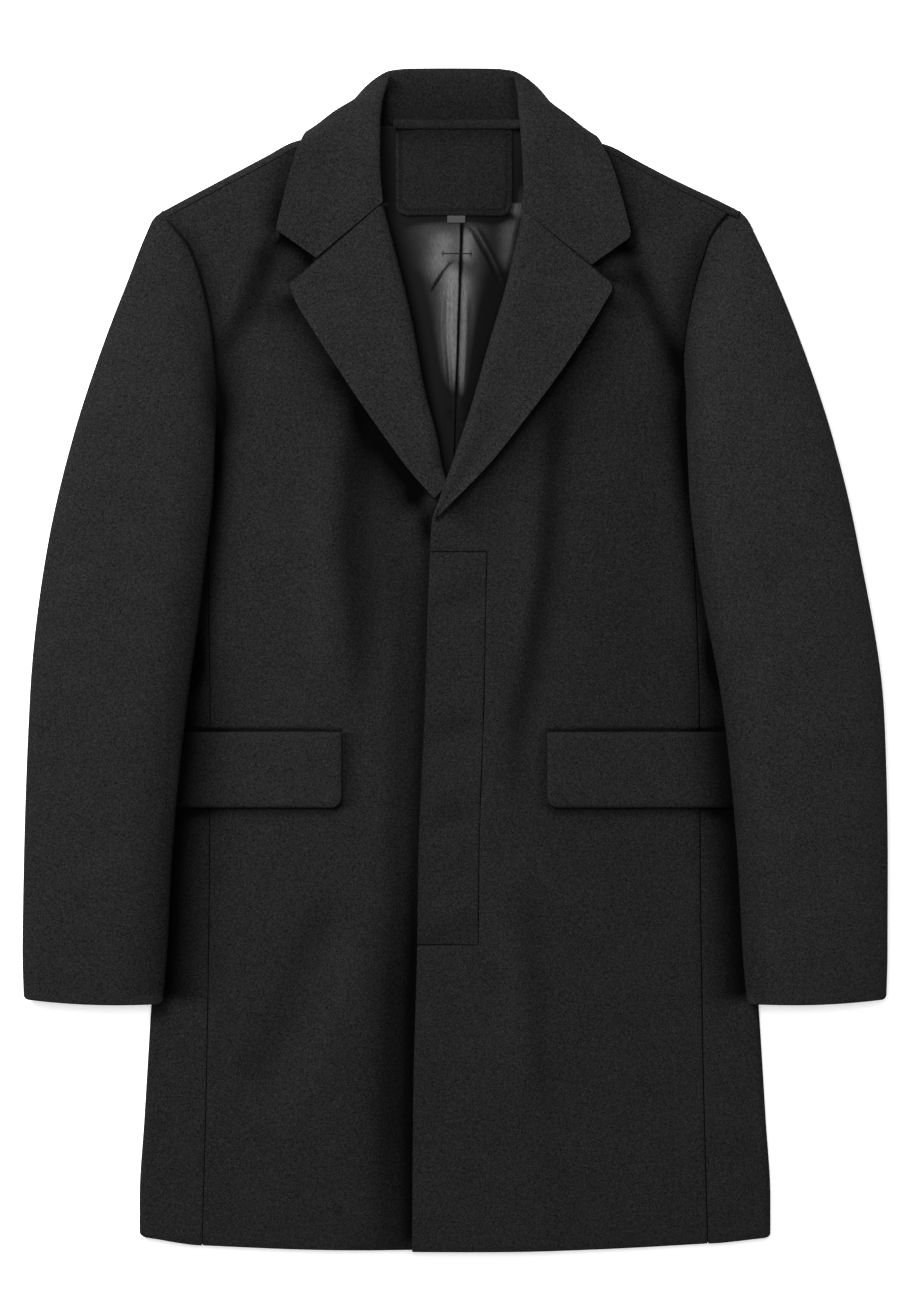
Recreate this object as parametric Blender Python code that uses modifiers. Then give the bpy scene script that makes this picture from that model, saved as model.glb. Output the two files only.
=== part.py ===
"""Single-breasted wool coat with a concealed button fly, laid flat on its back.

Metres, +Z up. The coat lies on the plane z = 0 with its collar towards +Y and the wearer's
left side towards +X. The origin is on that plane, under the middle of the coat's outline.
Each cut piece is one cloth wall: a grid is moved onto the outer face of the piece, worked
out from short tables of sections, and is then thickened inwards.
"""

import math
from collections import namedtuple

import bmesh
import bpy
import numpy as np

RIGHT, LEFT = -1, 1

# Cloth walls and the gaps between pieces
WOOL_WALL = 0.0022
LAPEL_WALL = 0.0030
FLAP_WALL = 0.0020
STAND_WALL = 0.0020
LINING_WALL = 0.0010
PATCH_WALL = 0.0018
TAB_WALL = 0.0008
LOOP_WALL = 0.0022
SEAM_GAP = 0.0003
ARMHOLE_GAP = 0.0008
LAY_GAP = 0.0008
TINY = 1e-6

# Spacing of the grid rows along the coat
PANEL_ROW_STEP = 0.040
ARMHOLE_ROW_STEP = 0.017
SLEEVE_ROW_STEP = 0.038

# The shoulders lie a little towards the wearer's right of the hem's middle
SHOULDER_SHIFT = -0.003
SHIFT_STARTS_Y = -0.050
SHIFT_ENDS_Y = 0.100

# Height of the upper layer above the floor, at the middle and at the side seams
Loft = namedtuple("Loft", "y middle side")
LOFTS = [
    Loft(-0.474, 0.0120, 0.0105),
    Loft(-0.300, 0.0150, 0.0105),
    Loft(-0.100, 0.0170, 0.0100),
    Loft(0.050, 0.0185, 0.0105),
    Loft(0.115, 0.0192, 0.0115),
    Loft(0.204, 0.0200, 0.0155),
    Loft(0.256, 0.0203, 0.0175),
    Loft(0.300, 0.0203, 0.0182),
    Loft(0.353, 0.0195, 0.0175),
    Loft(0.430, 0.0175, 0.0172),
]
LOFT_FLAT_HALF = 0.090
LOFT_SIDE_HALF = 0.200

# The largest soft folds of the fronts: a trough has a negative rise
Fold = namedtuple("Fold", "start_x start_y end_x end_y half_width rise")
FOLDS = [
    Fold(0.086, 0.225, 0.066, -0.035, 0.014, -0.0045),
    Fold(0.068, -0.200, 0.064, -0.350, 0.014, -0.0030),
    Fold(-0.075, 0.215, -0.071, -0.055, 0.015, -0.0050),
    Fold(-0.096, -0.190, -0.172, -0.340, 0.022, -0.0035),
    Fold(-0.135, -0.300, -0.130, -0.440, 0.020, 0.0020),
    Fold(-0.040, 0.060, -0.052, -0.470, 0.016, -0.0035),
    Fold(0.150, 0.335, 0.182, 0.225, 0.012, -0.0040),
    Fold(-0.166, 0.325, -0.190, 0.215, 0.012, -0.0040),
]
FOLD_TAPER = 0.3

# Seam between front and side panel, then the armhole, as half widths from the coat's middle
SideEdge = namedtuple("SideEdge", "y half")
SIDE_EDGES = [
    SideEdge(-0.474, 0.2026),
    SideEdge(-0.312, 0.1985),
    SideEdge(-0.160, 0.1965),
    SideEdge(0.048, 0.1953),
    SideEdge(0.115, 0.1935),
    SideEdge(0.150, 0.1910),
    SideEdge(0.175, 0.1882),
    SideEdge(0.204, 0.1876),
    SideEdge(0.2556, 0.1906),
    SideEdge(0.2876, 0.1962),
    SideEdge(0.3276, 0.2090),
    SideEdge(0.3526, 0.2289),
    SideEdge(0.3600, 0.2352),
]
UNDERARM_Y = 0.115
ARMHOLE_LOW_Y = 0.204
SHOULDER_TIP_Y = 0.3526
SLEEVE_HEAD_Y = 0.3580

# Where the side panels fold round, as half widths
BODY_EDGES = [
    SideEdge(-0.474, 0.2528),
    SideEdge(-0.432, 0.2528),
    SideEdge(-0.368, 0.2490),
    SideEdge(-0.312, 0.2456),
    SideEdge(-0.160, 0.2360),
    SideEdge(0.048, 0.2260),
    SideEdge(0.115, 0.2210),
    SideEdge(0.160, 0.2050),
    SideEdge(0.204, 0.1800),
    SideEdge(0.260, 0.1500),
]
BACK_SEAM_INSET = 0.006
BACK_HEM_Y = -0.4680
BACK_STEPS, BACK_STEP_POWER = 6, 0.9
SIDE_HEM_Y = {RIGHT: -0.4690, LEFT: -0.4675}
SIDE_HEM_RISE = 0.0110
SIDE_FOLD_STEPS = 6

# Neck edge of the back and the shoulder seams, from the middle outwards
TopEdge = namedtuple("TopEdge", "half y")
TOP_EDGES = [
    TopEdge(0.0000, 0.4225),
    TopEdge(0.0450, 0.4228),
    TopEdge(0.0780, 0.4180),
    TopEdge(0.1000, 0.4140),
    TopEdge(0.1231, 0.4087),
    TopEdge(0.1450, 0.3971),
    TopEdge(0.2289, 0.3526),
]
LEFT_SHOULDER_DROP = 0.0030
LEFT_SHOULDER_DROP_HALVES = (0.085, 0.120, 0.160, 0.229)
SHOULDER_OUTWARD = np.array([0.470, 0.883])
SHOULDER_FOLD_RADIUS = 0.0090
SHOULDER_SEAM_IN = 0.0060
SHOULDER_FOLD_STEPS = 6
SHOULDER_GAP = 0.0017
NECK_EDGE_STEP = 0.0008
NECK_HALF = 0.085
SHOULDER_HALF = 0.120
NECK_LIFT = 0.0040
NECK_LIFT_ROWS = (0.360, 0.415)
NECK_LIFT_HALVES = (0.100, 0.122)

# Fronts, from hem to shoulder: the free edge, and the height at which each row meets the side
FrontRow = namedtuple("FrontRow", "edge_x edge_y side_y")
FRONT_ROWS = {
    RIGHT: [
        FrontRow(0.0400, -0.4700, -0.4690),
        FrontRow(0.0400, -0.3520, -0.3520),
        FrontRow(0.0400, -0.2284, -0.2284),
        FrontRow(0.0400, -0.0600, -0.0600),
        FrontRow(0.0360, 0.0600, 0.0600),
        FrontRow(0.0040, 0.1200, 0.1150),
        FrontRow(-0.0176, 0.1516, 0.1450),
        FrontRow(-0.0320, 0.2156, 0.1850),
        FrontRow(-0.0440, 0.2780, 0.2300),
        FrontRow(-0.0664, 0.3652, 0.2950),
        FrontRow(-0.0750, 0.3950, 0.3260),
        FrontRow(-0.0810, 0.4180, 0.3526),
    ],
    LEFT: [
        FrontRow(-0.0344, -0.4738, -0.4675),
        FrontRow(-0.0336, -0.3524, -0.3524),
        FrontRow(-0.0305, -0.2284, -0.2284),
        FrontRow(-0.0296, -0.1604, -0.1604),
        FrontRow(-0.0248, -0.0484, -0.0484),
        FrontRow(-0.0200, 0.0860, 0.0860),
        FrontRow(-0.0184, 0.1116, 0.1080),
        FrontRow(-0.0032, 0.1316, 0.1250),
        FrontRow(0.0200, 0.1996, 0.1750),
        FrontRow(0.0360, 0.2556, 0.2150),
        FrontRow(0.0490, 0.3000, 0.2480),
        FrontRow(0.0624, 0.3588, 0.2950),
        FrontRow(0.0690, 0.3950, 0.3260),
        FrontRow(0.0750, 0.4180, 0.3526),
    ],
}
FRONT_COLUMNS = (0.0, 0.073, 0.145, 0.217, 0.32, 0.42, 0.52, 0.63, 0.74, 0.87, 1.0)
SHOULDER_ROWS_START = 0.300
HEM_SAG = {RIGHT: 0.0034, LEFT: 0.0025}
HEM_SAG_TOP_Y = -0.400

# The left front lies over the right one, highest where the lapels cross
WRAP_LIFT = 0.0034
WRAP_LIFT_FROM, WRAP_LIFT_TO = 0.045, 0.110
CROSSING_X, CROSSING_Y = -0.005, 0.140
CROSSING_RADIUS = 0.035
CROSSING_LIFT = 0.0055

# Fly placket, set into the left front's edge
PLACKET_COLUMN = 3
PLACKET_BOTTOM_Y, PLACKET_TOP_Y = -0.2284, 0.0860
PLACKET_LIFT = 0.0006
PLACKET_GAP = 0.0005

# Lapels, from the crossing up to the gorge: fold line and outer edge
LapelRow = namedtuple("LapelRow", "roll_x roll_y rim_x rim_y")
LAPEL_ROWS = {
    RIGHT: [
        LapelRow(-0.0055, 0.1400, -0.0165, 0.1287),
        LapelRow(-0.0096, 0.1530, -0.0330, 0.1470),
        LapelRow(-0.0136, 0.1756, -0.0572, 0.1792),
        LapelRow(-0.0240, 0.2156, -0.0826, 0.2157),
        LapelRow(-0.0344, 0.2716, -0.1084, 0.2552),
        LapelRow(-0.0480, 0.3276, -0.1258, 0.2830),
        LapelRow(-0.0576, 0.3640, -0.1328, 0.2988),
    ],
    LEFT: [
        LapelRow(-0.0180, 0.1130, -0.0130, 0.1145),
        LapelRow(-0.0112, 0.1316, 0.0000, 0.1276),
        LapelRow(0.0000, 0.1636, 0.0272, 0.1532),
        LapelRow(0.0120, 0.1996, 0.0560, 0.1858),
        LapelRow(0.0280, 0.2556, 0.0900, 0.2365),
        LapelRow(0.0400, 0.2956, 0.1130, 0.2760),
        LapelRow(0.0544, 0.3580, 0.1272, 0.2980),
    ],
}
LapelPoint = namedtuple("LapelPoint", "reach height")
LAPEL_ROLL = [
    LapelPoint(0.0045, -0.0030),
    LapelPoint(0.0008, -0.0012),
    LapelPoint(0.0000, 0.0014),
    LapelPoint(0.0018, 0.0046),
    LapelPoint(0.0065, 0.0066),
]
LAPEL_SHARES = (0.15, 0.36, 0.58, 0.80, 1.0)
LAPEL_FLAT_SHARE = 0.6
LAPEL_REST = 0.0042
LAPEL_RIM_LIFT = 0.0012
LAPEL_FULL_WIDTH = 0.030
LAPEL_ROW_STEP = 0.018

# Collar leaf, from the middle of the back round to its point: half widths, y and z
LeafRow = namedtuple("LeafRow", "tuck roll middle rim straight")
LEAF_ROWS = [
    LeafRow(
        (0.0000, 0.4680, 0.0085), (0.0000, 0.4740, 0.0042),
        (0.0000, 0.4500, 0.0), (0.0000, 0.4240, 0.0), 0,
    ),
    LeafRow(
        (0.0300, 0.4680, 0.0088), (0.0300, 0.4738, 0.0044),
        (0.0340, 0.4500, 0.0), (0.0400, 0.4235, 0.0), 0,
    ),
    LeafRow(
        (0.0465, 0.4650, 0.0110), (0.0500, 0.4712, 0.0080),
        (0.0640, 0.4605, 0.0020), (0.0740, 0.4225, 0.0), 0,
    ),
    LeafRow(
        (0.0505, 0.4560, 0.0120), (0.0535, 0.4580, 0.0150),
        (0.0795, 0.4475, 0.0090), (0.0930, 0.4180, 0.0), 0,
    ),
    LeafRow(
        (0.0545, 0.4425, 0.0140), (0.0565, 0.4430, 0.0210),
        (0.0930, 0.4370, 0.0180), (0.1135, 0.4240, 0.0090), 0,
    ),
    LeafRow(
        (0.0575, 0.4250, 0.0160), (0.0572, 0.4250, 0.0245),
        (0.0930, 0.4240, 0.0250), (0.1225, 0.4085, 0.0245), 0,
    ),
    LeafRow(
        (0.0585, 0.3956, 0.0180), (0.0570, 0.3956, 0.0265),
        (0.0930, 0.3980, 0.0250), (0.1290, 0.3876, 0.0270), 0,
    ),
    LeafRow(
        (0.0565, 0.3650, 0.0180), (0.0546, 0.3650, 0.0265),
        (0.1080, 0.3206, 0.0250), (0.1400, 0.3430, 0.0280), 1,
    ),
]
LEAF_SPANS = (3, 4, 3)
LEAF_STEPS = 2
LEFT_LEAF_SHIFT = np.array([0.0040, -0.0055])
LEFT_LEAF_SHIFT_FROM = 4
LEFT_LEAF_DROP = 0.0035
LEFT_LEAF_DROP_ROWS = (2.5, 4.0, 6.0)

# Collar stand: its neck seam, for the first rows of the leaf
STAND_GAP = 0.0012
STAND_SHARES = (0.0, 0.35, 0.7, 1.0)
TUCK_DIRECTION_PLACE = 0.3
StandRow = namedtuple("StandRow", "half y z")
STAND_ROWS = [
    StandRow(0.0000, 0.4275, 0.0085),
    StandRow(0.0300, 0.4275, 0.0088),
    StandRow(0.0440, 0.4280, 0.0100),
    StandRow(0.0500, 0.4290, 0.0115),
    StandRow(0.0535, 0.4285, 0.0125),
]

# Sleeves, from armhole to cuff: both folds, the heights there, and the armhole's share of the shape
SleeveRow = namedtuple("SleeveRow", "outer_half outer_y inner_half inner_y outer_top inner_top head")
SLEEVE_ROWS = [
    SleeveRow(0.2336, 0.3570, 0.1880, 0.2040, 0.0180, 0.0170, 1.00),
    SleeveRow(0.2520, 0.3180, 0.1886, 0.1750, 0.0260, 0.0290, 0.60),
    SleeveRow(0.2760, 0.2580, 0.1900, 0.1320, 0.0290, 0.0340, 0.25),
    SleeveRow(0.3035, 0.1740, 0.1950, 0.0850, 0.0295, 0.0370, 0.05),
    SleeveRow(0.3230, 0.0900, 0.2012, 0.0400, 0.0295, 0.0380, 0.00),
    SleeveRow(0.3400, -0.0324, 0.2138, -0.0400, 0.0290, 0.0380, 0.00),
    SleeveRow(0.3448, -0.1604, 0.2256, -0.1604, 0.0280, 0.0360, 0.00),
    SleeveRow(0.3460, -0.2324, 0.2294, -0.2324, 0.0260, 0.0330, 0.00),
    SleeveRow(0.3452, -0.2716, 0.2328, -0.2750, 0.0240, 0.0300, 0.00),
]
LEFT_SLEEVE_WIDER = 0.0026
LEFT_SLEEVE_WIDER_ROWS = (7, 5)
CUFF_SAG = 0.0022
SLEEVE_TOP_STEPS, SLEEVE_UNDER_STEPS = 11, 9
SLEEVE_ROUNDNESS = 2.6
UNDER_ROUNDNESS, UNDER_FLATNESS = 6.0, 1.12
SLEEVE_CLIMB_FROM, SLEEVE_CLIMB_TO = 0.032, 0.012
UNDERARM_CLIMB = (0.204, 0.172)

# Pocket flaps
FLAP_INNER = {RIGHT: 0.0904, LEFT: 0.0736}
FLAP_OUTER_HALF = 0.2235
FLAP_TOP_Y, FLAP_BOTTOM_Y = -0.0580, -0.1185
FLAP_CORNER = 0.0065
FLAP_ROWS = (0.0, 0.0018, 0.0040, FLAP_CORNER, 0.022, 0.040)
FLAP_STEPS = 8
FLAP_REST = 0.0030
FLAP_RIM_LIFT = 0.0012
FLAP_PRESS_FADE = 0.012

# Inside the neck
LiningRow = namedtuple("LiningRow", "y half")
LINING_ROWS = [
    LiningRow(0.1300, 0.016),
    LiningRow(0.1756, 0.030),
    LiningRow(0.2156, 0.044),
    LiningRow(0.2716, 0.058),
    LiningRow(0.3650, 0.066),
    LiningRow(0.4255, 0.060),
]
LINING_RIGHT_COLUMNS = (-1.0, -0.66, -0.33)
LINING_LEFT_COLUMNS = (0.40, 0.70, 1.0)
LINING_BILLOW = 0.0030
PLEAT_TOP_X, PLEAT_LOW_X, PLEAT_WIDTH, PLEAT_STEP = 0.0062, -0.0010, 0.0012, 0.0010
PLEAT_COLUMNS = ("left of the pleat", "right of the pleat")
PATCH_X, PATCH_HALF = -0.0008, 0.0465
PATCH_TOP_Y, PATCH_BOTTOM_Y, PATCH_CORNER = 0.4245, 0.3555, 0.0085
PATCH_ROWS = (0.0, 0.0025, 0.0055, PATCH_CORNER, 0.025, 0.045)
PATCH_STEPS = 4
PATCH_SPAN = 0.006
LOOP_X, LOOP_HALF, LOOP_TOP_Y, LOOP_BOTTOM_Y = 0.0010, 0.0490, 0.4316, 0.4252
LOOP_CROWN = 0.0010
LOOP_STEPS = 5
TAB_X, TAB_HALF, TAB_TOP_Y, TAB_BOTTOM_Y = 0.0010, 0.0072, 0.3548, 0.3488
TAB_COLUMNS = (-1.0, -0.4, 0.4, 1.0)
TAB_SPAN = 0.004


def smooth_step(start, end, value):
    """0 before start, 1 after end, with a soft change between them; end may lie below start."""
    share = min(max((value - start) / (end - start), 0.0), 1.0)
    return share * share * (3 - 2 * share)


def mix(first, second, share):
    return first + (second - first) * share


def rounded(start, end, leaving, arriving, share):
    """The curve from start to end that leaves and arrives in the given directions."""
    rise = share * share * (3 - 2 * share)
    leave = share * (1 - share) ** 2
    arrive = share * share * (share - 1)
    return mix(start, end, rise) + leaving * leave + arriving * arrive


def smooth_curve(knots, rows):
    """The curve through the rows of a table, one for each knot, that never swings past a row."""
    knots = np.asarray(knots, float)
    rows = np.asarray(rows, float).reshape(len(knots), -1)
    steps = np.diff(knots)[:, None]
    slopes = np.diff(rows, axis=0) / steps
    tangents = np.zeros_like(rows)
    tangents[0], tangents[-1] = slopes[0], slopes[-1]
    before, after = slopes[:-1], slopes[1:]
    near, far = 2 * steps[1:] + steps[:-1], steps[1:] + 2 * steps[:-1]
    same_way = before * after > 0
    bent = near / np.where(same_way, before, 1) + far / np.where(same_way, after, 1)
    tangents[1:-1] = np.where(same_way, (near + far) / np.where(same_way, bent, 1), 0)

    def at(knot):
        knot = min(max(knot, knots[0]), knots[-1])
        i = min(max(int(np.searchsorted(knots, knot)) - 1, 0), len(knots) - 2)
        step = knots[i + 1] - knots[i]
        return rounded(
            rows[i], rows[i + 1], tangents[i] * step, tangents[i + 1] * step, (knot - knots[i]) / step
        )

    return at


def curve_of(table):
    """A smooth curve through a table whose first column is its knot."""
    return smooth_curve([row[0] for row in table], [row[1:] for row in table])


loft_at = curve_of(LOFTS)
side_edge_at = curve_of(SIDE_EDGES)
body_edge_at = curve_of(BODY_EDGES)
top_edge_at = curve_of(TOP_EDGES)
lining_at = curve_of(LINING_ROWS)
leaf_at = smooth_curve(
    range(len(LEAF_ROWS)), [[*np.ravel(row[:-1]), row.straight] for row in LEAF_ROWS]
)
stand_seam_at = smooth_curve(range(len(STAND_ROWS)), STAND_ROWS)
sleeve_at = smooth_curve(range(len(SLEEVE_ROWS)), SLEEVE_ROWS)
front_at = {
    side: smooth_curve([(row.edge_y + row.side_y) / 2 for row in rows], rows)
    for side, rows in FRONT_ROWS.items()
}
lapel_at = {side: smooth_curve(range(len(rows)), rows) for side, rows in LAPEL_ROWS.items()}


def steps_through(knots, spacing):
    """The knots, with even steps of at most the spacing between them."""
    steps = [knots[0]]
    for start, end in zip(knots, knots[1:]):
        count = max(1, math.ceil(abs(end - start) / spacing))
        steps += [mix(start, end, (i + 1) / count) for i in range(count)]
    return steps


def middle_x(y):
    return SHOULDER_SHIFT * smooth_step(SHIFT_STARTS_Y, SHIFT_ENDS_Y, y)


def body_x(side, half, y):
    return middle_x(y) + side * half


def top_edge_y(side, half):
    """Neck edge and shoulder seam; the left shoulder lies lower beside the collar."""
    y = top_edge_at(half)[0]
    if side == RIGHT:
        return y
    start, full, back, end = LEFT_SHOULDER_DROP_HALVES
    return y - LEFT_SHOULDER_DROP * smooth_step(start, full, half) * smooth_step(end, back, half)


def fold_rise(fold, x, y):
    start = np.array([fold.start_x, fold.start_y])
    along = np.array([fold.end_x, fold.end_y]) - start
    place = np.array([x, y]) - start
    share = min(max(place @ along / (along @ along), 0.0), 1.0)
    distance = np.linalg.norm(place - along * share)
    taper = smooth_step(0, FOLD_TAPER, share) * smooth_step(1, 1 - FOLD_TAPER, share)
    return fold.rise * taper * math.exp(-((distance / fold.half_width) ** 2))


def body_height(x, y):
    """Outer face of the coat's upper layer, without the lapped part of the left front."""
    middle, side = loft_at(y)
    half = abs(x - middle_x(y))
    height = mix(middle, side, smooth_step(LOFT_FLAT_HALF, LOFT_SIDE_HALF, half))
    return height + sum(fold_rise(fold, x, y) for fold in FOLDS)


def front_height(side, x, y):
    height = body_height(x, y)
    if side == RIGHT:
        return height
    crossing = ((x - CROSSING_X) ** 2 + (y - CROSSING_Y) ** 2) / CROSSING_RADIUS**2
    lap = WRAP_LIFT * smooth_step(WRAP_LIFT_TO, WRAP_LIFT_FROM, x)
    return height + lap + CROSSING_LIFT * math.exp(-crossing)


def finish(name, colour, roughness):
    material = bpy.data.materials.new(name)
    material.use_nodes = True
    shader = material.node_tree.nodes["Principled BSDF"]
    shader.inputs["Base Color"].default_value = (*colour, 1.0)
    shader.inputs["Roughness"].default_value = roughness
    shader.inputs["Metallic"].default_value = 0.0
    return material


def cloth(name, material, wall, columns, rows, place, flip=False, tube=False, keep=None):
    """A cloth wall: place(column, row) is on its outer face, and keep(i, j) says which cells stay."""
    across, along = len(columns) - 1, len(rows) - 1
    grid = bmesh.new()
    bmesh.ops.create_grid(grid, x_segments=across, y_segments=along, size=0.5)
    if keep:
        cells = {}
        for face in grid.faces:
            centre = face.calc_center_median()
            cells[face] = int((centre.x + 0.5) * across), int((centre.y + 0.5) * along)
        cut = [face for face, cell in cells.items() if not keep(*cell)]
        bmesh.ops.delete(grid, geom=cut, context="FACES")
    for vert in grid.verts:
        i, j = round((vert.co.x + 0.5) * across), round((vert.co.y + 0.5) * along)
        vert.co = place(columns[i], rows[j])
    if tube:
        bmesh.ops.remove_doubles(grid, verts=grid.verts, dist=TINY)
    if flip:
        bmesh.ops.reverse_faces(grid, faces=grid.faces)
    mesh = bpy.data.meshes.new(name)
    grid.to_mesh(mesh)
    grid.free()
    mesh.shade_smooth()
    mesh.materials.append(material)
    part = bpy.data.objects.new(name, mesh)
    solid = part.modifiers.new("Wall", "SOLIDIFY")
    solid.thickness = wall
    solid.offset = -1
    solid.use_even_offset = True
    solid.use_quality_normals = True
    coat.objects.link(part)
    return part


def side_name(base, side):
    return f"{base}_{'right' if side == RIGHT else 'left'}"


# Fronts and the fly placket


def front_knots(side):
    knots = [(row.edge_y + row.side_y) / 2 for row in FRONT_ROWS[side]]
    chest = next(i for i, knot in enumerate(knots) if knot > ARMHOLE_LOW_Y)
    low = steps_through(knots[: chest + 1], PANEL_ROW_STEP)
    return low + steps_through(knots[chest:], ARMHOLE_ROW_STEP)[1:]


def front_plan(side, across, knot):
    last = FRONT_ROWS[side][-1]
    edge_x, edge_y, side_y = front_at[side](knot)
    gap = mix(SEAM_GAP, ARMHOLE_GAP, smooth_step(UNDERARM_Y, ARMHOLE_LOW_Y, side_y))
    seam_x = body_x(side, side_edge_at(side_y)[0] - gap, side_y)
    x = mix(edge_x, seam_x, across)
    y = mix(edge_y, side_y, across)
    shoulder_share = smooth_step(SHOULDER_ROWS_START, (last.edge_y + last.side_y) / 2, knot)
    first_half = side * (last.edge_x - SHOULDER_SHIFT)
    last_half = mix(first_half, side_edge_at(last.side_y)[0], across)
    bend = top_edge_y(side, last_half) - mix(last.edge_y, last.side_y, across)
    hem_share = smooth_step(HEM_SAG_TOP_Y, FRONT_ROWS[side][0].edge_y, knot)
    sag = HEM_SAG[side] * math.sin(math.pi * across) * hem_share
    return x, y + shoulder_share * bend - sag


def front_point(side, across, knot, lift=0.0):
    x, y = front_plan(side, across, knot)
    return x, y, front_height(side, x, y) + lift


def make_front(side, wool):
    knots = front_knots(side)

    def outside_placket(i, j):
        beside = PLACKET_BOTTOM_Y - TINY < knots[j] < PLACKET_TOP_Y - TINY
        return not (side == LEFT and i < PLACKET_COLUMN and beside)

    cloth(
        side_name("front", side), wool, WOOL_WALL, FRONT_COLUMNS, knots,
        lambda across, knot: front_point(side, across, knot),
        flip=side == RIGHT, keep=outside_placket,
    )


def make_placket(wool):
    seam = FRONT_COLUMNS[PLACKET_COLUMN]
    width = body_x(LEFT, side_edge_at(0.0)[0], 0.0) - front_at[LEFT](0.0)[0]
    inside = FRONT_COLUMNS[: PLACKET_COLUMN + 1]
    columns = [min(column, seam - PLACKET_GAP / width) for column in inside]
    bottom, top = PLACKET_BOTTOM_Y - TINY, PLACKET_TOP_Y + TINY
    knots = [knot for knot in front_knots(LEFT) if bottom < knot < top]
    knots[0] += PLACKET_GAP
    knots[-1] -= PLACKET_GAP
    cloth(
        "fly_placket", wool, WOOL_WALL, columns, knots,
        lambda across, knot: front_point(LEFT, across, knot, PLACKET_LIFT),
    )


# Side panels, folded round the coat's sides


def side_panel_section(side, y):
    """The section at one height, as half widths and z, from the front seam to the back seam."""
    seam = side_edge_at(y)[0] + SEAM_GAP
    edge = body_edge_at(y)[0]
    edge_height = loft_at(y)[1]
    radius = edge_height / 2
    points = []
    for share in (0.0, 0.5, 1.0):
        half = mix(seam, edge - radius, share)
        height = body_height(body_x(side, half, y), y)
        points.append((half, mix(height, edge_height, share)))
    for i in range(1, SIDE_FOLD_STEPS):
        turn = math.pi / 2 - math.pi * i / SIDE_FOLD_STEPS
        points.append((edge - radius + radius * math.cos(turn), radius + radius * math.sin(turn)))
    back_seam = seam - BACK_SEAM_INSET
    points += [(mix(edge - radius, back_seam, share), 0.0) for share in (0.0, 0.5, 1.0)]
    return points


def make_side_panel(side, wool):
    count = len(side_panel_section(side, 0.0))
    rows = steps_through([0.0, 1.0], PANEL_ROW_STEP / (UNDERARM_Y - SIDE_HEM_Y[side]))

    def place(column, share):
        hem_y = SIDE_HEM_Y[side] + SIDE_HEM_RISE * math.sin(math.pi * column / (count - 1)) ** 2
        y = mix(hem_y, UNDERARM_Y, share)
        half, z = side_panel_section(side, y)[column]
        return body_x(side, half, y), y, z

    cloth(
        side_name("side_panel", side), wool, WOOL_WALL, range(count), rows, place, flip=side == RIGHT
    )


# Back, lying on the floor and wrapping over the shoulders


def neck_lift(half, y):
    return NECK_LIFT * smooth_step(*NECK_LIFT_ROWS, y) * smooth_step(*reversed(NECK_LIFT_HALVES), half)


def back_edge_half(y):
    inset = BACK_SEAM_INSET * smooth_step(ARMHOLE_LOW_Y, UNDERARM_Y, y)
    gap = mix(0.0, ARMHOLE_GAP, smooth_step(UNDERARM_Y, ARMHOLE_LOW_Y, y))
    return side_edge_at(y)[0] - inset - gap


def make_back(wool):
    neck_y = TOP_EDGES[0].y
    shares = [i / BACK_STEPS for i in range(-BACK_STEPS, BACK_STEPS + 1)]
    columns = [math.copysign(abs(share) ** BACK_STEP_POWER, share) for share in shares]
    low = steps_through([BACK_HEM_Y, ARMHOLE_LOW_Y], PANEL_ROW_STEP)
    high = steps_through([ARMHOLE_LOW_Y, SHOULDER_TIP_Y], ARMHOLE_ROW_STEP)[1:]
    flat_rows = [(side_y, 0) for side_y in low + high]
    rows = flat_rows + [(SHOULDER_TIP_Y, i) for i in range(1, SHOULDER_FOLD_STEPS + 1)]
    last_turn = math.acos((SHOULDER_FOLD_RADIUS - SHOULDER_SEAM_IN) / SHOULDER_FOLD_RADIUS)

    def place(column, row):
        side_y, fold_step = row
        share = abs(column)
        side = math.copysign(1, column)
        half = back_edge_half(side_y) * share
        grown = smooth_step(ARMHOLE_LOW_Y, SHOULDER_TIP_Y, side_y)
        middle_y = side_y + (neck_y - SHOULDER_TIP_Y) * grown
        y = mix(middle_y, side_y, share)
        top_y = top_edge_y(side, back_edge_half(SHOULDER_TIP_Y) * share)
        y += grown * (top_y - mix(neck_y, SHOULDER_TIP_Y, share))
        shoulder = smooth_step(NECK_HALF, SHOULDER_HALF, half)
        inset = SHOULDER_FOLD_RADIUS - SHOULDER_SEAM_IN - SHOULDER_GAP
        flat = np.array([half, y]) - SHOULDER_OUTWARD * inset * shoulder * grown
        turn = mix(-math.pi / 2, last_turn, fold_step / SHOULDER_FOLD_STEPS)
        out = SHOULDER_FOLD_RADIUS * math.cos(turn) * shoulder
        rise = SHOULDER_FOLD_RADIUS * (1 + math.sin(turn)) * shoulder
        neck_step = NECK_EDGE_STEP * fold_step * (1 - shoulder)
        plan = flat + SHOULDER_OUTWARD * out + np.array([0, neck_step])
        z = rise + neck_lift(half, plan[1])
        return body_x(side, plan[0], plan[1]), plan[1], z

    cloth("back", wool, WOOL_WALL, columns, rows, place, flip=True)


# Sleeves, flattened tubes that rest on the floor and on the coat's sides


def flap_press(y):
    """How far a pocket flap lifts the sleeve that lies over its end."""
    above = smooth_step(FLAP_BOTTOM_Y - FLAP_PRESS_FADE, FLAP_BOTTOM_Y, y)
    below = smooth_step(FLAP_TOP_Y + FLAP_PRESS_FADE, FLAP_TOP_Y, y)
    return (FLAP_REST + FLAP_RIM_LIFT) * above * below


def sleeve_rest(half, y):
    """Height of what lies under a sleeve: the floor, or the coat's side."""
    edge = body_edge_at(y)[0]
    on_body = (loft_at(y)[1] + flap_press(y) + LAY_GAP) * smooth_step(*UNDERARM_CLIMB, y)
    return on_body * smooth_step(edge + SLEEVE_CLIMB_FROM, edge + SLEEVE_CLIMB_TO, half)


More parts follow.
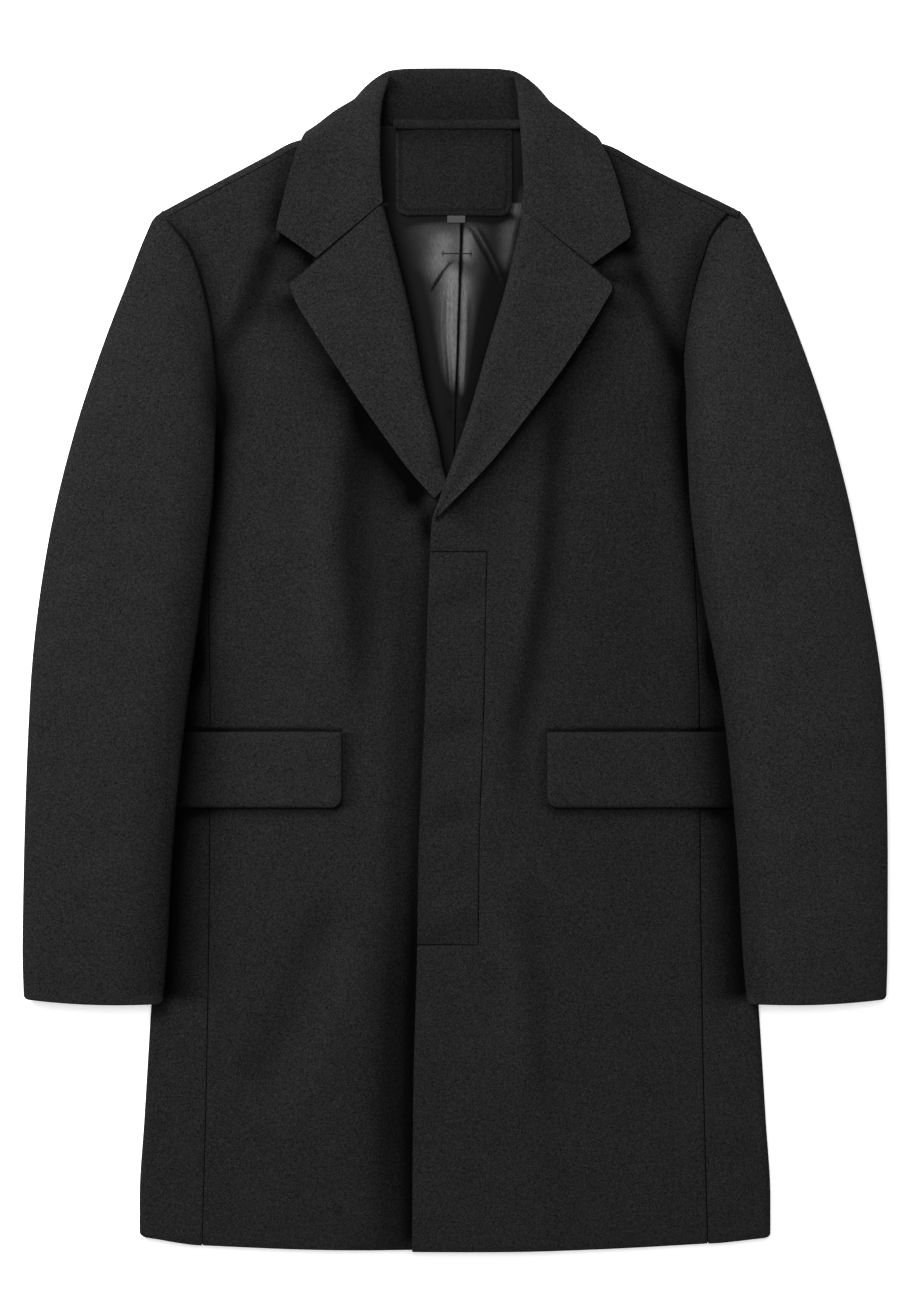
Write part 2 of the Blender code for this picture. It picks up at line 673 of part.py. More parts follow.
def armhole_point(share):
    y = mix(SLEEVE_HEAD_Y, ARMHOLE_LOW_Y, share)
    return np.array([side_edge_at(y)[0], y])


def make_sleeve(side, wool):
    first = SLEEVE_ROWS[0]
    top_turns = [math.pi * i / SLEEVE_TOP_STEPS for i in range(SLEEVE_TOP_STEPS)]
    under_turns = [math.pi * (1 + i / SLEEVE_UNDER_STEPS) for i in range(SLEEVE_UNDER_STEPS + 1)]
    last = len(SLEEVE_ROWS) - 1
    length = first.outer_y - SLEEVE_ROWS[-1].outer_y
    rows = steps_through([0.0, float(last)], SLEEVE_ROW_STEP / length * last)

    def place(turn, row):
        outer_half, outer_y, inner_half, inner_y, outer_top, inner_top, head = sleeve_at(row)
        cross = math.cos(turn)
        share = (1 - cross) / 2
        chord = mix(np.array(first[:2]), np.array(first[2:4]), share)
        seam = armhole_point(share)
        plan = mix(np.array([outer_half, outer_y]), np.array([inner_half, inner_y]), share)
        plan += head * (seam - chord)
        if side == LEFT:
            wider = (1 - share) * (1 - head) * smooth_step(*LEFT_SLEEVE_WIDER_ROWS, row)
            plan[0] += LEFT_SLEEVE_WIDER * wider
        plan[1] -= CUFF_SAG * math.sin(math.pi * share) * smooth_step(last - 1, last, row)
        half, y = plan
        seam_height = body_height(body_x(side, seam[0], seam[1]), seam[1])
        top = mix(mix(outer_top, inner_top, share), seam_height, head**3)
        rest = sleeve_rest(half, y)
        if math.sin(turn) >= 0:
            swell = (1 - abs(cross) ** SLEEVE_ROUNDNESS) ** (1 / SLEEVE_ROUNDNESS)
        else:
            swell = -min(1.0, UNDER_FLATNESS * math.sqrt(1 - abs(cross) ** UNDER_ROUNDNESS))
        z = (top + rest) / 2 + swell * (top - rest) / 2
        return body_x(side, half, y), y, z

    cloth(
        side_name("sleeve", side), wool, WOOL_WALL, top_turns + under_turns, rows, place,
        flip=side == RIGHT, tube=True,
    )


# Lapels, lying on the fronts and rolling over their neck edges


def make_lapel(side, wool):
    last = len(LAPEL_ROWS[side]) - 1
    length = LAPEL_ROWS[side][-1].roll_y - LAPEL_ROWS[side][0].roll_y
    rows = steps_through([0.0, float(last)], LAPEL_ROW_STEP / length * last)

    def place(column, row):
        roll_x, roll_y, rim_x, rim_y = lapel_at[side](row)
        across = np.array([rim_x - roll_x, rim_y - roll_y])
        width = np.linalg.norm(across)
        full = min(1.0, width / LAPEL_FULL_WIDTH)
        crest = LAPEL_ROLL[-1]
        if column < len(LAPEL_ROLL):
            reach = LAPEL_ROLL[column].reach * full
            height = mix(LAPEL_REST, LAPEL_ROLL[column].height, full)
        else:
            share = LAPEL_SHARES[column - len(LAPEL_ROLL)]
            reach = mix(crest.reach * full, width, share)
            height = mix(LAPEL_REST, crest.height, full * smooth_step(LAPEL_FLAT_SHARE, 0, share))
            height += LAPEL_RIM_LIFT * full * share**3
        x, y = np.array([roll_x, roll_y]) + across * (reach / width)
        return x, y, front_height(side, x, y) + height

    columns = range(len(LAPEL_ROLL) + len(LAPEL_SHARES))
    cloth(side_name("lapel", side), wool, LAPEL_WALL, columns, rows, place, flip=side == RIGHT)


# Collar


def section_slope(before, point, after):
    """Direction of the rounded line at a point of a section; a near neighbour counts for more."""
    near, far = math.sqrt(np.linalg.norm(point - before)), math.sqrt(np.linalg.norm(after - point))
    return (point - before) / near - (after - before) / (near + far) + (after - point) / far


def section_point(points, place):
    """A point on the rounded line through a section's points, at a place counted in points."""
    i = min(int(place), len(points) - 2)
    start, end = points[i], points[i + 1]
    before = points[i - 1] if i else 2 * start - end
    after = points[i + 2] if i + 2 < len(points) else 2 * end - start
    span = math.sqrt(np.linalg.norm(end - start))
    leaving = section_slope(before, start, end) * span
    arriving = section_slope(start, end, after) * span
    return rounded(start, end, leaving, arriving, place - i)


def leaf_point(side, place, row):
    """The collar leaf's outer face: place runs from the tucked edge to the rim, row from the back."""
    *flat, straight = leaf_at(row)
    points = np.reshape(flat, (-1, 3))
    i = min(int(place), len(points) - 2)
    chord = mix(points[i], points[i + 1], place - i)
    half, y, z = mix(section_point(points, place), chord, straight)
    if side == LEFT:
        moved = smooth_step(LEFT_LEAF_SHIFT_FROM, len(LEAF_ROWS) - 1, row)
        start, full, end = LEFT_LEAF_DROP_ROWS
        dropped = smooth_step(start, full, row) * smooth_step(end, full, row) * smooth_step(1, 2, place)
        half, y = np.array([half, y - LEFT_LEAF_DROP * dropped]) + LEFT_LEAF_SHIFT * moved
    return np.array([body_x(side, half, y), y, max(z, 0.0)])


def make_collar(wool):
    places = [float(i) for i in range(4)]
    columns = [places[0]]
    for i, count in enumerate(LEAF_SPANS):
        columns += [i + (k + 1) / count for k in range(count)]
    last = len(LEAF_ROWS) - 1
    rows = [i / LEAF_STEPS for i in range(-last * LEAF_STEPS, last * LEAF_STEPS + 1)]

    def leaf_place(place, row):
        return leaf_point(RIGHT if row < 0 else LEFT, place, abs(row))

    cloth("collar_leaf", wool, LAPEL_WALL, columns, rows, leaf_place, flip=True)

    def stand_place(row, share):
        side = RIGHT if row < 0 else LEFT
        tuck = leaf_point(side, 0.0, abs(row))
        roll = leaf_point(side, TUCK_DIRECTION_PLACE, abs(row))
        inward = (tuck - roll) / np.linalg.norm(tuck - roll)
        fold = tuck + inward * STAND_GAP
        half, y, z = stand_seam_at(abs(row))
        return mix(np.array([body_x(side, half, y), y, z]), fold, share)

    reach = len(STAND_ROWS) - 1
    stand_rows = [i / LEAF_STEPS for i in range(-reach * LEAF_STEPS, reach * LEAF_STEPS + 1)]
    cloth("collar_stand", wool, STAND_WALL, stand_rows, STAND_SHARES, stand_place)


# Pocket flaps


def corner_inset(radius, distance):
    """How far a rounded corner has drawn in, at a distance from the edge it ends on."""
    left = max(radius - distance, 0.0)
    return radius - math.sqrt(radius**2 - left**2)


def make_flap(side, wool):
    drop = FLAP_TOP_Y - FLAP_BOTTOM_Y
    columns = [i / FLAP_STEPS for i in range(FLAP_STEPS + 1)]

    def place(across, up):
        y = FLAP_BOTTOM_Y + up
        inner = FLAP_INNER[side] + corner_inset(FLAP_CORNER, up)
        x = side * inner if across == 0 else mix(side * inner, body_x(side, FLAP_OUTER_HALF, y), across)
        lift = FLAP_RIM_LIFT * (1 - up / drop) ** 2
        return x, y, front_height(side, x, y) + FLAP_REST + lift

    rows = (*FLAP_ROWS, drop)
    cloth(side_name("pocket_flap", side), wool, FLAP_WALL, columns, rows, place, flip=side == RIGHT)


# Lining, neck patch, hanger loop and size tab


def pleat_x(y):
    return mix(PLEAT_LOW_X, PLEAT_TOP_X, (y - LINING_ROWS[0].y) / (PATCH_BOTTOM_Y - LINING_ROWS[0].y))


def lining_height(x, y):
    half = abs(x - middle_x(y))
    width = lining_at(y)[0]
    loose = smooth_step(PATCH_TOP_Y, PATCH_BOTTOM_Y, y)
    billow = LINING_BILLOW * max(0.0, 1 - (half / width) ** 2)
    fold_x = pleat_x(y)
    pleat = PLEAT_STEP * smooth_step(fold_x + PLEAT_WIDTH, fold_x, x)
    return neck_lift(half, y) + WOOL_WALL + LAY_GAP + LINING_WALL + loose * (billow + pleat)


def make_lining(satin):
    columns = (*LINING_RIGHT_COLUMNS, *PLEAT_COLUMNS, *LINING_LEFT_COLUMNS)
    rows = steps_through([row.y for row in LINING_ROWS], PANEL_ROW_STEP)

    def place(column, y):
        half = lining_at(y)[0]
        if column in PLEAT_COLUMNS:
            x = pleat_x(y) + PLEAT_WIDTH * PLEAT_COLUMNS.index(column)
        else:
            x = middle_x(y) + column * half
        return x, y, lining_height(x, y)

    cloth("back_lining", satin, LINING_WALL, columns, rows, place)


def make_patch(wool):
    rows = [PATCH_BOTTOM_Y + up for up in PATCH_ROWS] + [PATCH_TOP_Y]
    columns = [i / PATCH_STEPS for i in range(-PATCH_STEPS, PATCH_STEPS + 1)]

    def place(across, y):
        half = PATCH_HALF - corner_inset(PATCH_CORNER, y - PATCH_BOTTOM_Y)
        x = PATCH_X + across * half
        under = max(lining_height(x + reach, y) for reach in (-PATCH_SPAN, 0.0, PATCH_SPAN))
        return x, y, under + SEAM_GAP + LAY_GAP + PATCH_WALL

    cloth("neck_patch", wool, PATCH_WALL, columns, rows, place)


def make_loop(wool):
    columns = [i / LOOP_STEPS for i in range(-LOOP_STEPS, LOOP_STEPS + 1)]
    seam_halves, _, seam_heights = zip(*STAND_ROWS)
    drop = LOOP_TOP_Y - LOOP_BOTTOM_Y

    def place(across, share):
        x = LOOP_X + across * LOOP_HALF
        seam_z = np.interp(abs(x - SHOULDER_SHIFT), seam_halves, seam_heights)
        if abs(across) == 1:
            seam_z = seam_heights[-1]
        crown = LOOP_CROWN * math.sin(math.pi * share)
        return x, LOOP_BOTTOM_Y + drop * share, seam_z + LAY_GAP + LOOP_WALL + crown

    cloth("hanger_loop", wool, LOOP_WALL, columns, (0.0, 0.33, 0.67, 1.0), place)


def make_tab(tape):
    def place(across, share):
        x = TAB_X + across * TAB_HALF
        y = mix(TAB_BOTTOM_Y, TAB_TOP_Y, share)
        under = max(lining_height(x + reach, y) for reach in (-TAB_SPAN, 0.0, TAB_SPAN))
        return x, y, under + SEAM_GAP + TAB_WALL

    cloth("size_tab", tape, TAB_WALL, TAB_COLUMNS, (0.0, 0.5, 1.0), place)


for leftover in list(bpy.data.objects):
    bpy.data.objects.remove(leftover, do_unlink=True)
coat = bpy.data.collections.new("single_breasted_coat")
bpy.context.scene.collection.children.link(coat)

black_wool = finish("black_wool", (0.022, 0.022, 0.022), 0.95)
black_satin = finish("black_satin", (0.030, 0.030, 0.030), 0.35)
dark_tape = finish("dark_tape", (0.035, 0.035, 0.035), 0.90)

make_back(black_wool)
for wearer_side in (RIGHT, LEFT):
    make_front(wearer_side, black_wool)
    make_side_panel(wearer_side, black_wool)
    make_sleeve(wearer_side, black_wool)
    make_lapel(wearer_side, black_wool)
    make_flap(wearer_side, black_wool)
make_placket(black_wool)
make_collar(black_wool)
make_lining(black_satin)
make_patch(black_wool)
make_loop(black_wool)
make_tab(dark_tape)
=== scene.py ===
# %% [markdown]
# # A single-breasted wool coat, laid flat
# The coat lies on its back on a pale floor and is seen from straight above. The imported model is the
# frame: every sheet of cloth below takes the place of a solid of it. Each sheet is worked out from
# nearly the same short tables as its solid, only with many more points, so that the cloth can be
# smooth, creased and soft at its edges.

# %% Load the frame
import math

import bmesh
import bpy
import numpy as np
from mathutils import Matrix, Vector


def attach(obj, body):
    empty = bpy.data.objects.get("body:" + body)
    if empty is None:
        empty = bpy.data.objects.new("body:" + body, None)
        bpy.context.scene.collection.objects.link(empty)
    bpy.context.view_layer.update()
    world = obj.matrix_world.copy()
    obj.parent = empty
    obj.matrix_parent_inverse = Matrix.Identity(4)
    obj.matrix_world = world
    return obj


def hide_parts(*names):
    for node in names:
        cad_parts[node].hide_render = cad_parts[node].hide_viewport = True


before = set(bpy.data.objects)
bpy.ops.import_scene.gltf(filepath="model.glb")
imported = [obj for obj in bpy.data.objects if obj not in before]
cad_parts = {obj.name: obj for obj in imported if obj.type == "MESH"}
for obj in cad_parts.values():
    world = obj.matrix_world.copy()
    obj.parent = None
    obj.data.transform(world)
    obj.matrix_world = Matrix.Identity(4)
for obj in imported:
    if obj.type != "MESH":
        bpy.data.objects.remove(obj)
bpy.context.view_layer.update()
RIGHT, LEFT = -1, 1

# %% [markdown]
# ## Curves from tables
# A tailor drafts a panel from a few measured points and joins them with a curved ruler. Here a table
# holds the points, and a curve that never swings past a point joins them. Everything works on whole
# arrays, so a sheet of ten thousand points takes no longer to write down than one point.

# %% Curves through tables
def mix(first, second, share):
    return first + (second - first) * share


def smooth_step(start, end, value):
    """0 before start, 1 after end, soft between them; end may lie below start."""
    share = np.clip((np.asarray(value, float) - start) / (end - start), 0, 1)
    return share * share * (3 - 2 * share)


def rounded(start, end, leaving, arriving, share):
    """The curve from start to end that leaves and arrives in the given directions."""
    rise = share * share * (3 - 2 * share)
    curve = mix(start, end, rise) + leaving * share * (1 - share) ** 2
    return curve + arriving * share * share * (share - 1)


def curve_of(table):
    """A curve through a table whose first column is its knot; it gives one array for each other column."""
    data = np.array(table, float)
    knots, rows = data[:, 0], data[:, 1:]
    steps = np.diff(knots)[:, None]
    slopes = np.diff(rows, axis=0) / steps
    tangents = np.zeros_like(rows)
    tangents[0], tangents[-1] = slopes[0], slopes[-1]
    before, after = slopes[:-1], slopes[1:]
    near, far = 2 * steps[1:] + steps[:-1], steps[1:] + 2 * steps[:-1]
    same_way = before * after > 0
    bent = near / np.where(same_way, before, 1) + far / np.where(same_way, after, 1)
    tangents[1:-1] = np.where(same_way, (near + far) / np.where(same_way, bent, 1), 0)

    def at(knot):
        knot = np.clip(np.asarray(knot, float), knots[0], knots[-1])
        i = np.clip(np.searchsorted(knots, knot) - 1, 0, len(knots) - 2)
        step = (knots[i + 1] - knots[i])[..., None]
        share = (knot - knots[i])[..., None] / step
        found = rounded(rows[i], rows[i + 1], tangents[i] * step, tangents[i + 1] * step, share)
        return np.moveaxis(found, -1, 0)

    return at


def curve_by_row(rows):
    """A curve through the rows of a table, with 0, 1, 2 and so on as knots."""
    return curve_of([(i, *row) for i, row in enumerate(rows)])


def steps_through(knots, spacing):
    """The knots, with even steps of at most the spacing between them."""
    steps = [np.array([knots[0]])]
    for start, end in zip(knots, knots[1:]):
        count = max(1, math.ceil(abs(end - start) / spacing))
        steps.append(np.linspace(start, end, count + 1)[1:])
    return np.concatenate(steps)


def runs_through(knots, counts):
    """The knots, with even steps between them; each run has a count of points, its ends included."""
    runs = [np.linspace(*run) for run in zip(knots, knots[1:], counts)]
    return np.concatenate([runs[0]] + [run[1:] for run in runs[1:]])


print("curves ready; half way up a step is", float(smooth_step(0, 1, 0.5)))

# %% [markdown]
# ## The lie of the coat
# A coat laid on its back is two layers of cloth with a little air between them. The upper layer is
# highest along its middle and sinks to the folds at the sides. The tables give the height of the
# upper layer, the side seams and armholes as half widths, the folds where the sides turn under, and
# the line of the neck and the shoulders.

# %% Main tables of the body
# y, height at the middle, height at the side seams
loft_at = curve_of([
    (-0.474, 0.0120, 0.0105), (-0.300, 0.0150, 0.0105), (-0.100, 0.0170, 0.0100),
    (0.050, 0.0185, 0.0105), (0.115, 0.0192, 0.0115), (0.204, 0.0200, 0.0155),
    (0.256, 0.0203, 0.0175), (0.300, 0.0203, 0.0182), (0.353, 0.0195, 0.0175),
    (0.430, 0.0175, 0.0172),
])
# y, half width of the side seam and then of the armhole
side_edge_at = curve_of([
    (-0.474, 0.2026), (-0.312, 0.1985), (-0.160, 0.1965), (0.048, 0.1953), (0.115, 0.1935),
    (0.150, 0.1910), (0.175, 0.1882), (0.204, 0.1876), (0.2556, 0.1906), (0.2876, 0.1962),
    (0.3276, 0.2090), (0.3526, 0.2289), (0.3600, 0.2352),
])
# y, half width of the folded side
body_edge_at = curve_of([
    (-0.474, 0.2528), (-0.432, 0.2528), (-0.368, 0.2490), (-0.312, 0.2456), (-0.160, 0.2360),
    (0.048, 0.2260), (0.115, 0.2210), (0.160, 0.2050), (0.204, 0.1800), (0.260, 0.1500),
])
# half width, y of the neck edge and of the shoulder seam
top_edge_at = curve_of([
    (0.0000, 0.4225), (0.0450, 0.4228), (0.0780, 0.4180), (0.1000, 0.4140), (0.1231, 0.4087),
    (0.1450, 0.3971), (0.2289, 0.3526),
])
UNDERARM_Y, ARMHOLE_LOW_Y, SHOULDER_TIP_Y, SLEEVE_HEAD_Y = 0.115, 0.204, 0.3526, 0.3580
SEAM_GAP, LAY_GAP, BACK_SEAM_INSET = 0.0003, 0.0008, 0.0060
WOOL_WALL, LAPEL_WALL = 0.0022, 0.0030
NECK_HALF, SHOULDER_HALF = 0.085, 0.120
TURNED_TO_RIGHT, ARMHOLE_INSET, FOLD_CLEAR = 0.003, 0.0008, 0.001
LEFT_SEAM_IN, LEFT_TIP_IN, LEFT_SHOULDER_DROP, UNDER_SLEEVE = 0.0030, 0.0050, 0.0030, 0.0035
# spans over which something sets in or fades: first along y, then across as half widths
TURN_SPAN, SEAM_IN_SPAN = (-0.05, 0.10), (0.210, 0.245)
TIP_IN_SPAN, HEAD_SPAN = (0.318, 0.348), (0.3575, 0.3525)
TUCK_STARTS, TUCK_ENDS, CLIMB_SPAN = (0.119, 0.140), (0.210, 0.190), (ARMHOLE_LOW_Y, 0.172)
BESIDE_COLLAR, TO_SHOULDER_TIP, LOFT_FALLS = (NECK_HALF, SHOULDER_HALF), (0.229, 0.160), (0.090, 0.200)


def middle_x(y):
    """The shoulders lie 3 mm towards the wearer's right of the hem's middle."""
    return -TURNED_TO_RIGHT * smooth_step(*TURN_SPAN, y)


def body_x(side, half, y):
    return middle_x(y) + side * half


def armhole_half(side, y):
    """Half width at the sleeve seam. The coat lies a little turned, so the left seam is further in."""
    if side == RIGHT:
        return side_edge_at(y)[0]
    inward = LEFT_SEAM_IN * smooth_step(*SEAM_IN_SPAN, y) + LEFT_TIP_IN * smooth_step(*TIP_IN_SPAN, y)
    return side_edge_at(y)[0] - inward * smooth_step(*HEAD_SPAN, y)


def front_edge_half(y):
    """Half width where a front ends: the side seam, then the armhole, a little tucked under the sleeve."""
    tucked = UNDER_SLEEVE * smooth_step(*TUCK_STARTS, y) * smooth_step(*TUCK_ENDS, y)
    return side_edge_at(y)[0] + tucked


def sleeve_climb(y):
    """From 0 at the armhole, where a sleeve lies on the floor, to 1 where it lies on the coat's side."""
    return smooth_step(*CLIMB_SPAN, y)


def fold_radius(y):
    return loft_at(y)[1] * sleeve_climb(y) / 2


def side_fold_half(y):
    """Half width of the coat's folded side; under the sleeve it keeps clear of the front's edge."""
    return np.maximum(body_edge_at(y)[0], front_edge_half(y) + SEAM_GAP + fold_radius(y) + FOLD_CLEAR)


def back_edge_half(y):
    """Half width where the back ends; below the armhole its seam lies further in."""
    low = smooth_step(ARMHOLE_LOW_Y, UNDERARM_Y, y)
    return side_edge_at(y)[0] - mix(ARMHOLE_INSET, BACK_SEAM_INSET, low)


def top_edge_y(side, half):
    """Neck edge and shoulder seam; the left shoulder lies lower beside the collar."""
    beside_collar = smooth_step(*BESIDE_COLLAR, half) * smooth_step(*TO_SHOULDER_TIP, half)
    drop = LEFT_SHOULDER_DROP * beside_collar
    return top_edge_at(half)[0] - np.where(side == LEFT, drop, 0.0)


print("shoulder width", round(2 * float(side_edge_at(SHOULDER_TIP_Y)[0]), 3), "m")

# %% [markdown]
# ## Creases
# Heavy wool doesn't crumple: it rolls into a few broad troughs and ridges where it is pulled or
# pressed. A cloth simulation could find some of them, but not these ones, so each is placed along a
# short path, with a soft cross section that fades out at both ends.

# %% Creases of the fronts
POCKET_Y = -0.0570
# path of (x, y) points, half width, rise at the middle (a trough has a negative rise)
CREASES = [
    # right front: trough below the lapel, dip beside the fly, folds above the hem, trough on the chest
    ([(-0.064, 0.235), (-0.076, 0.165), (-0.079, 0.090), (-0.072, 0.020), (-0.068, -0.060)],
     0.0110, -0.0085),
    ([(-0.104, 0.190), (-0.106, 0.060), (-0.104, -0.040)], 0.014, 0.0022),
    ([(-0.034, 0.125), (-0.037, -0.050), (-0.040, -0.200), (-0.047, -0.330), (-0.050, -0.520)],
     0.012, -0.0060),
    ([(-0.085, -0.180), (-0.118, -0.240), (-0.140, -0.300), (-0.176, -0.365)], 0.014, -0.0034),
    ([(-0.070, -0.190), (-0.092, -0.280), (-0.142, -0.400)], 0.017, 0.0030),
    ([(-0.124, 0.395), (-0.149, 0.320), (-0.157, 0.300), (-0.164, 0.280), (-0.189, 0.236)],
     0.0078, -0.0068),
    # left front: long narrow trough below the lapel, its tail above the hem, trough on the chest
    ([(0.088, 0.235), (0.083, 0.160), (0.082, 0.120), (0.076, 0.060), (0.066, 0.000), (0.050, -0.090)],
     0.0098, -0.0068),
    ([(0.062, 0.160), (0.060, 0.060), (0.046, -0.020)], 0.011, 0.0020),
    ([(0.058, -0.165), (0.070, -0.262), (0.078, -0.380)], 0.0110, -0.0028),
    ([(0.040, -0.190), (0.052, -0.280), (0.058, -0.370)], 0.014, 0.0016),
    ([(0.128, 0.362), (0.154, 0.300), (0.163, 0.280), (0.171, 0.260), (0.189, 0.212)], 0.0070, -0.0070),
    # armholes: both fronts dip to the sleeve seam
    ([(-0.245, 0.374), (-0.212, 0.3276), (-0.199, 0.2876), (-0.1936, 0.2556), (-0.191, 0.204),
      (-0.197, 0.100)], 0.012, -0.0055),
    ([(0.232, 0.374), (0.202, 0.3276), (0.190, 0.2876), (0.1846, 0.2556), (0.184, 0.204),
      (0.191, 0.100)], 0.012, -0.0055),
    # pocket mouths, just above each flap
    ([(-0.240, POCKET_Y), (-0.088, POCKET_Y)], 0.0020, -0.0022),
    ([(0.071, POCKET_Y), (0.240, POCKET_Y)], 0.0020, -0.0022),
]


def crease_rise(path, half_width, rise, x, y, fade_in=0.25, fade_out=0.25):
    """Height that one crease adds at each point: largest on its path, and 0 past its ends."""
    path = np.array(path)
    lengths = np.linalg.norm(np.diff(path, axis=0), axis=1)
    nearest, place = np.full(np.shape(x), np.inf), np.zeros(np.shape(x))
    done = 0.0
    for start, end, length in zip(path, path[1:], lengths):
        along = (end - start) / length
        share = np.clip((x - start[0]) * along[0] + (y - start[1]) * along[1], 0, length)
        distance = np.hypot(x - start[0] - along[0] * share, y - start[1] - along[1] * share)
        place = np.where(distance < nearest, (done + share) / lengths.sum(), place)
        nearest = np.minimum(distance, nearest)
        done += length
    taper = smooth_step(0, fade_in, place) * smooth_step(1, 1 - fade_out, place)
    return rise * taper * np.exp(-((nearest / half_width) ** 2))


def creases_rise(creases, x, y):
    """Height that a whole list of creases adds at each point."""
    return sum(crease_rise(*crease, x, y) for crease in creases)


def lay_height(x, y):
    """Outer face of the upper layer with no creases."""
    middle, side = loft_at(y)
    return mix(middle, side, smooth_step(*LOFT_FALLS, abs(x - middle_x(y))))


def body_height(x, y):
    return lay_height(x, y) + creases_rise(CREASES, x, y)


CROSSING_X, CROSSING_Y, CROSSING_SIZE, CROSSING_RISE = -0.005, 0.140, 0.035, 0.0055
LAP_RISE, LAP_SPAN = 0.0034, (0.110, 0.045)


def lap_height(side, x, y):
    """How much higher a front lies because it laps over the other one."""
    if side == RIGHT:
        return 0.0 * x
    crossing = ((x - CROSSING_X) ** 2 + (y - CROSSING_Y) ** 2) / CROSSING_SIZE**2
    return LAP_RISE * smooth_step(*LAP_SPAN, x) + CROSSING_RISE * np.exp(-crossing)


def front_height(side, x, y):
    return body_height(x, y) + lap_height(side, x, y)


print(len(CREASES), "creases placed; the deepest is", 1000 * min(c[2] for c in CREASES), "mm")

# %% [markdown]
# ## The cloth itself
# Melton is a woven wool that is shrunk and brushed until the weave disappears under a short felted
# nap. What the eye sees is a dense grey-black mottle of fibre ends, faint clouds about two fingers
# wide, and a pale fuzz where the surface turns away. The mottle and the clouds are one node group,
# because every wool piece shares them; the fuzz is the shader's own sheen.

# %% Node helpers and the felted nap group
def group_of(name, outputs, inputs):
    """An empty node group with named value inputs (name, default) and outputs (name, kind)."""
    group = bpy.data.node_groups.new(name, "ShaderNodeTree")
    for title, kind in outputs:
        group.interface.new_socket(title, in_out="OUTPUT", socket_type=kind)
    for title, default in inputs:
        socket = group.interface.new_socket(title, in_out="INPUT", socket_type="NodeSocketFloat")
        socket.default_value = default
    return group, group.nodes.new("NodeGroupInput"), group.nodes.new("NodeGroupOutput")


def add(tree, kind, links=(), **settings):
    """A node with settings; links gives (socket, source) pairs, where a source is a socket or a value."""
    node = tree.nodes.new(kind)
    for key, value in settings.items():
        setattr(node, key, value)
    for socket, source in links:
        if isinstance(source, bpy.types.NodeSocket):
            tree.links.new(source, node.inputs[socket])
        else:
            node.inputs[socket].default_value = source
    return node


def calc(tree, operation, *values, clamp=False):
    links = list(enumerate(values))
    return add(tree, "ShaderNodeMath", links, operation=operation, use_clamp=clamp).outputs[0]


def noise(tree, vector, scale, detail=2.0, rough=0.5):
    links = [("Vector", vector), ("Scale", scale), ("Detail", detail), ("Roughness", rough)]
    return add(tree, "ShaderNodeTexNoise", links).outputs["Fac"]


def object_place(tree):
    return add(tree, "ShaderNodeTexCoord").outputs["Object"]


MEAN_FIBRE = 0.56
nap, nap_in, nap_out = group_of(
    "felted_nap",
    [("Tone", "NodeSocketFloat"), ("Pile", "NodeSocketFloat")],
    [("Fibre scale", 950.0), ("Cloud scale", 34.0), ("Fibre contrast", 2.1), ("Cloud contrast", 0.16)],
)
place = object_place(nap)
coarse = [("Vector", place), ("Scale", 260.0), ("Detail", 2.0)]
warp = add(nap, "ShaderNodeTexNoise", coarse).outputs["Color"]
bend = add(nap, "ShaderNodeVectorMath", [(0, warp), ("Scale", 0.0022)], operation="SCALE").outputs[0]
bent = add(nap, "ShaderNodeVectorMath", [(0, place), (1, bend)], operation="ADD").outputs[0]
streaks = []
for turn in (0.8, -0.7):
    stretch = [("Vector", bent), ("Rotation", (0.3, 0.2, turn)), ("Scale", (1, 2.0, 1))]
    mapped = add(nap, "ShaderNodeMapping", stretch, vector_type="TEXTURE")
    streaks.append(noise(nap, mapped.outputs[0], nap_in.outputs["Fibre scale"], 3.0, 0.65))
fibre = calc(nap, "MAXIMUM", *streaks)
specks = noise(nap, bent, 1200.0, 2.0, 0.7)
cloud = noise(nap, place, nap_in.outputs["Cloud scale"], 4.0, 0.55)
fibre_rise = calc(nap, "SUBTRACT", fibre, MEAN_FIBRE)
fibre_part = calc(nap, "MULTIPLY", fibre_rise, nap_in.outputs["Fibre contrast"])
speck_part = calc(nap, "SUBTRACT", specks, 0.5)
cloud_part = calc(nap, "MULTIPLY", calc(nap, "SUBTRACT", cloud, 0.5), nap_in.outputs["Cloud contrast"])
fine = calc(nap, "ADD", fibre_part, speck_part)
tone = calc(nap, "ADD", calc(nap, "ADD", fine, cloud_part), 0.5, clamp=True)
nap.links.new(tone, nap_out.inputs["Tone"])
nap.links.new(calc(nap, "ADD", fine, 0.5), nap_out.inputs["Pile"])
print("felted nap group:", len(nap.nodes), "nodes")

# %% [markdown]
# ## Wool, satin, tape and thread
# The wool's colour runs between a near black and a dark grey with the nap's tone. The lining is satin:
# long smooth threads that mirror the light softly, so it is the only glossy thing here. The size tab
# is a bit of dark tape with a ribbed weave, and the stitches are black thread.

# %% Materials
# coat weight of the satin's gleam, and the least share of colour that the deepest painted shade leaves
SATIN_GLEAM, DARKEST_SHARE = 0.56, 0.04


def new_material(name, roughness, **sockets):
    material = bpy.data.materials.new(name)
    material.use_nodes = True
    shader = material.node_tree.nodes["Principled BSDF"]
    shader.inputs["Roughness"].default_value = roughness
    for socket, value in sockets.items():
        shader.inputs[socket.replace("_", " ")].default_value = value
    return material, material.node_tree, shader


def colour_between(tree, dark, light, factor):
    ramp = add(tree, "ShaderNodeValToRGB", [("Fac", factor)])
    ramp.color_ramp.elements[0].position, ramp.color_ramp.elements[1].position = 0.15, 0.85
    ramp.color_ramp.elements[0].color, ramp.color_ramp.elements[1].color = (*dark, 1), (*light, 1)
    return ramp.outputs["Color"]


# painted shade that each sheet stores at its points: high where shade falls, below 0 where light is painted
def painted_shade_value(tree):
    return add(tree, "ShaderNodeAttribute", attribute_name="painted_shade").outputs["Fac"]


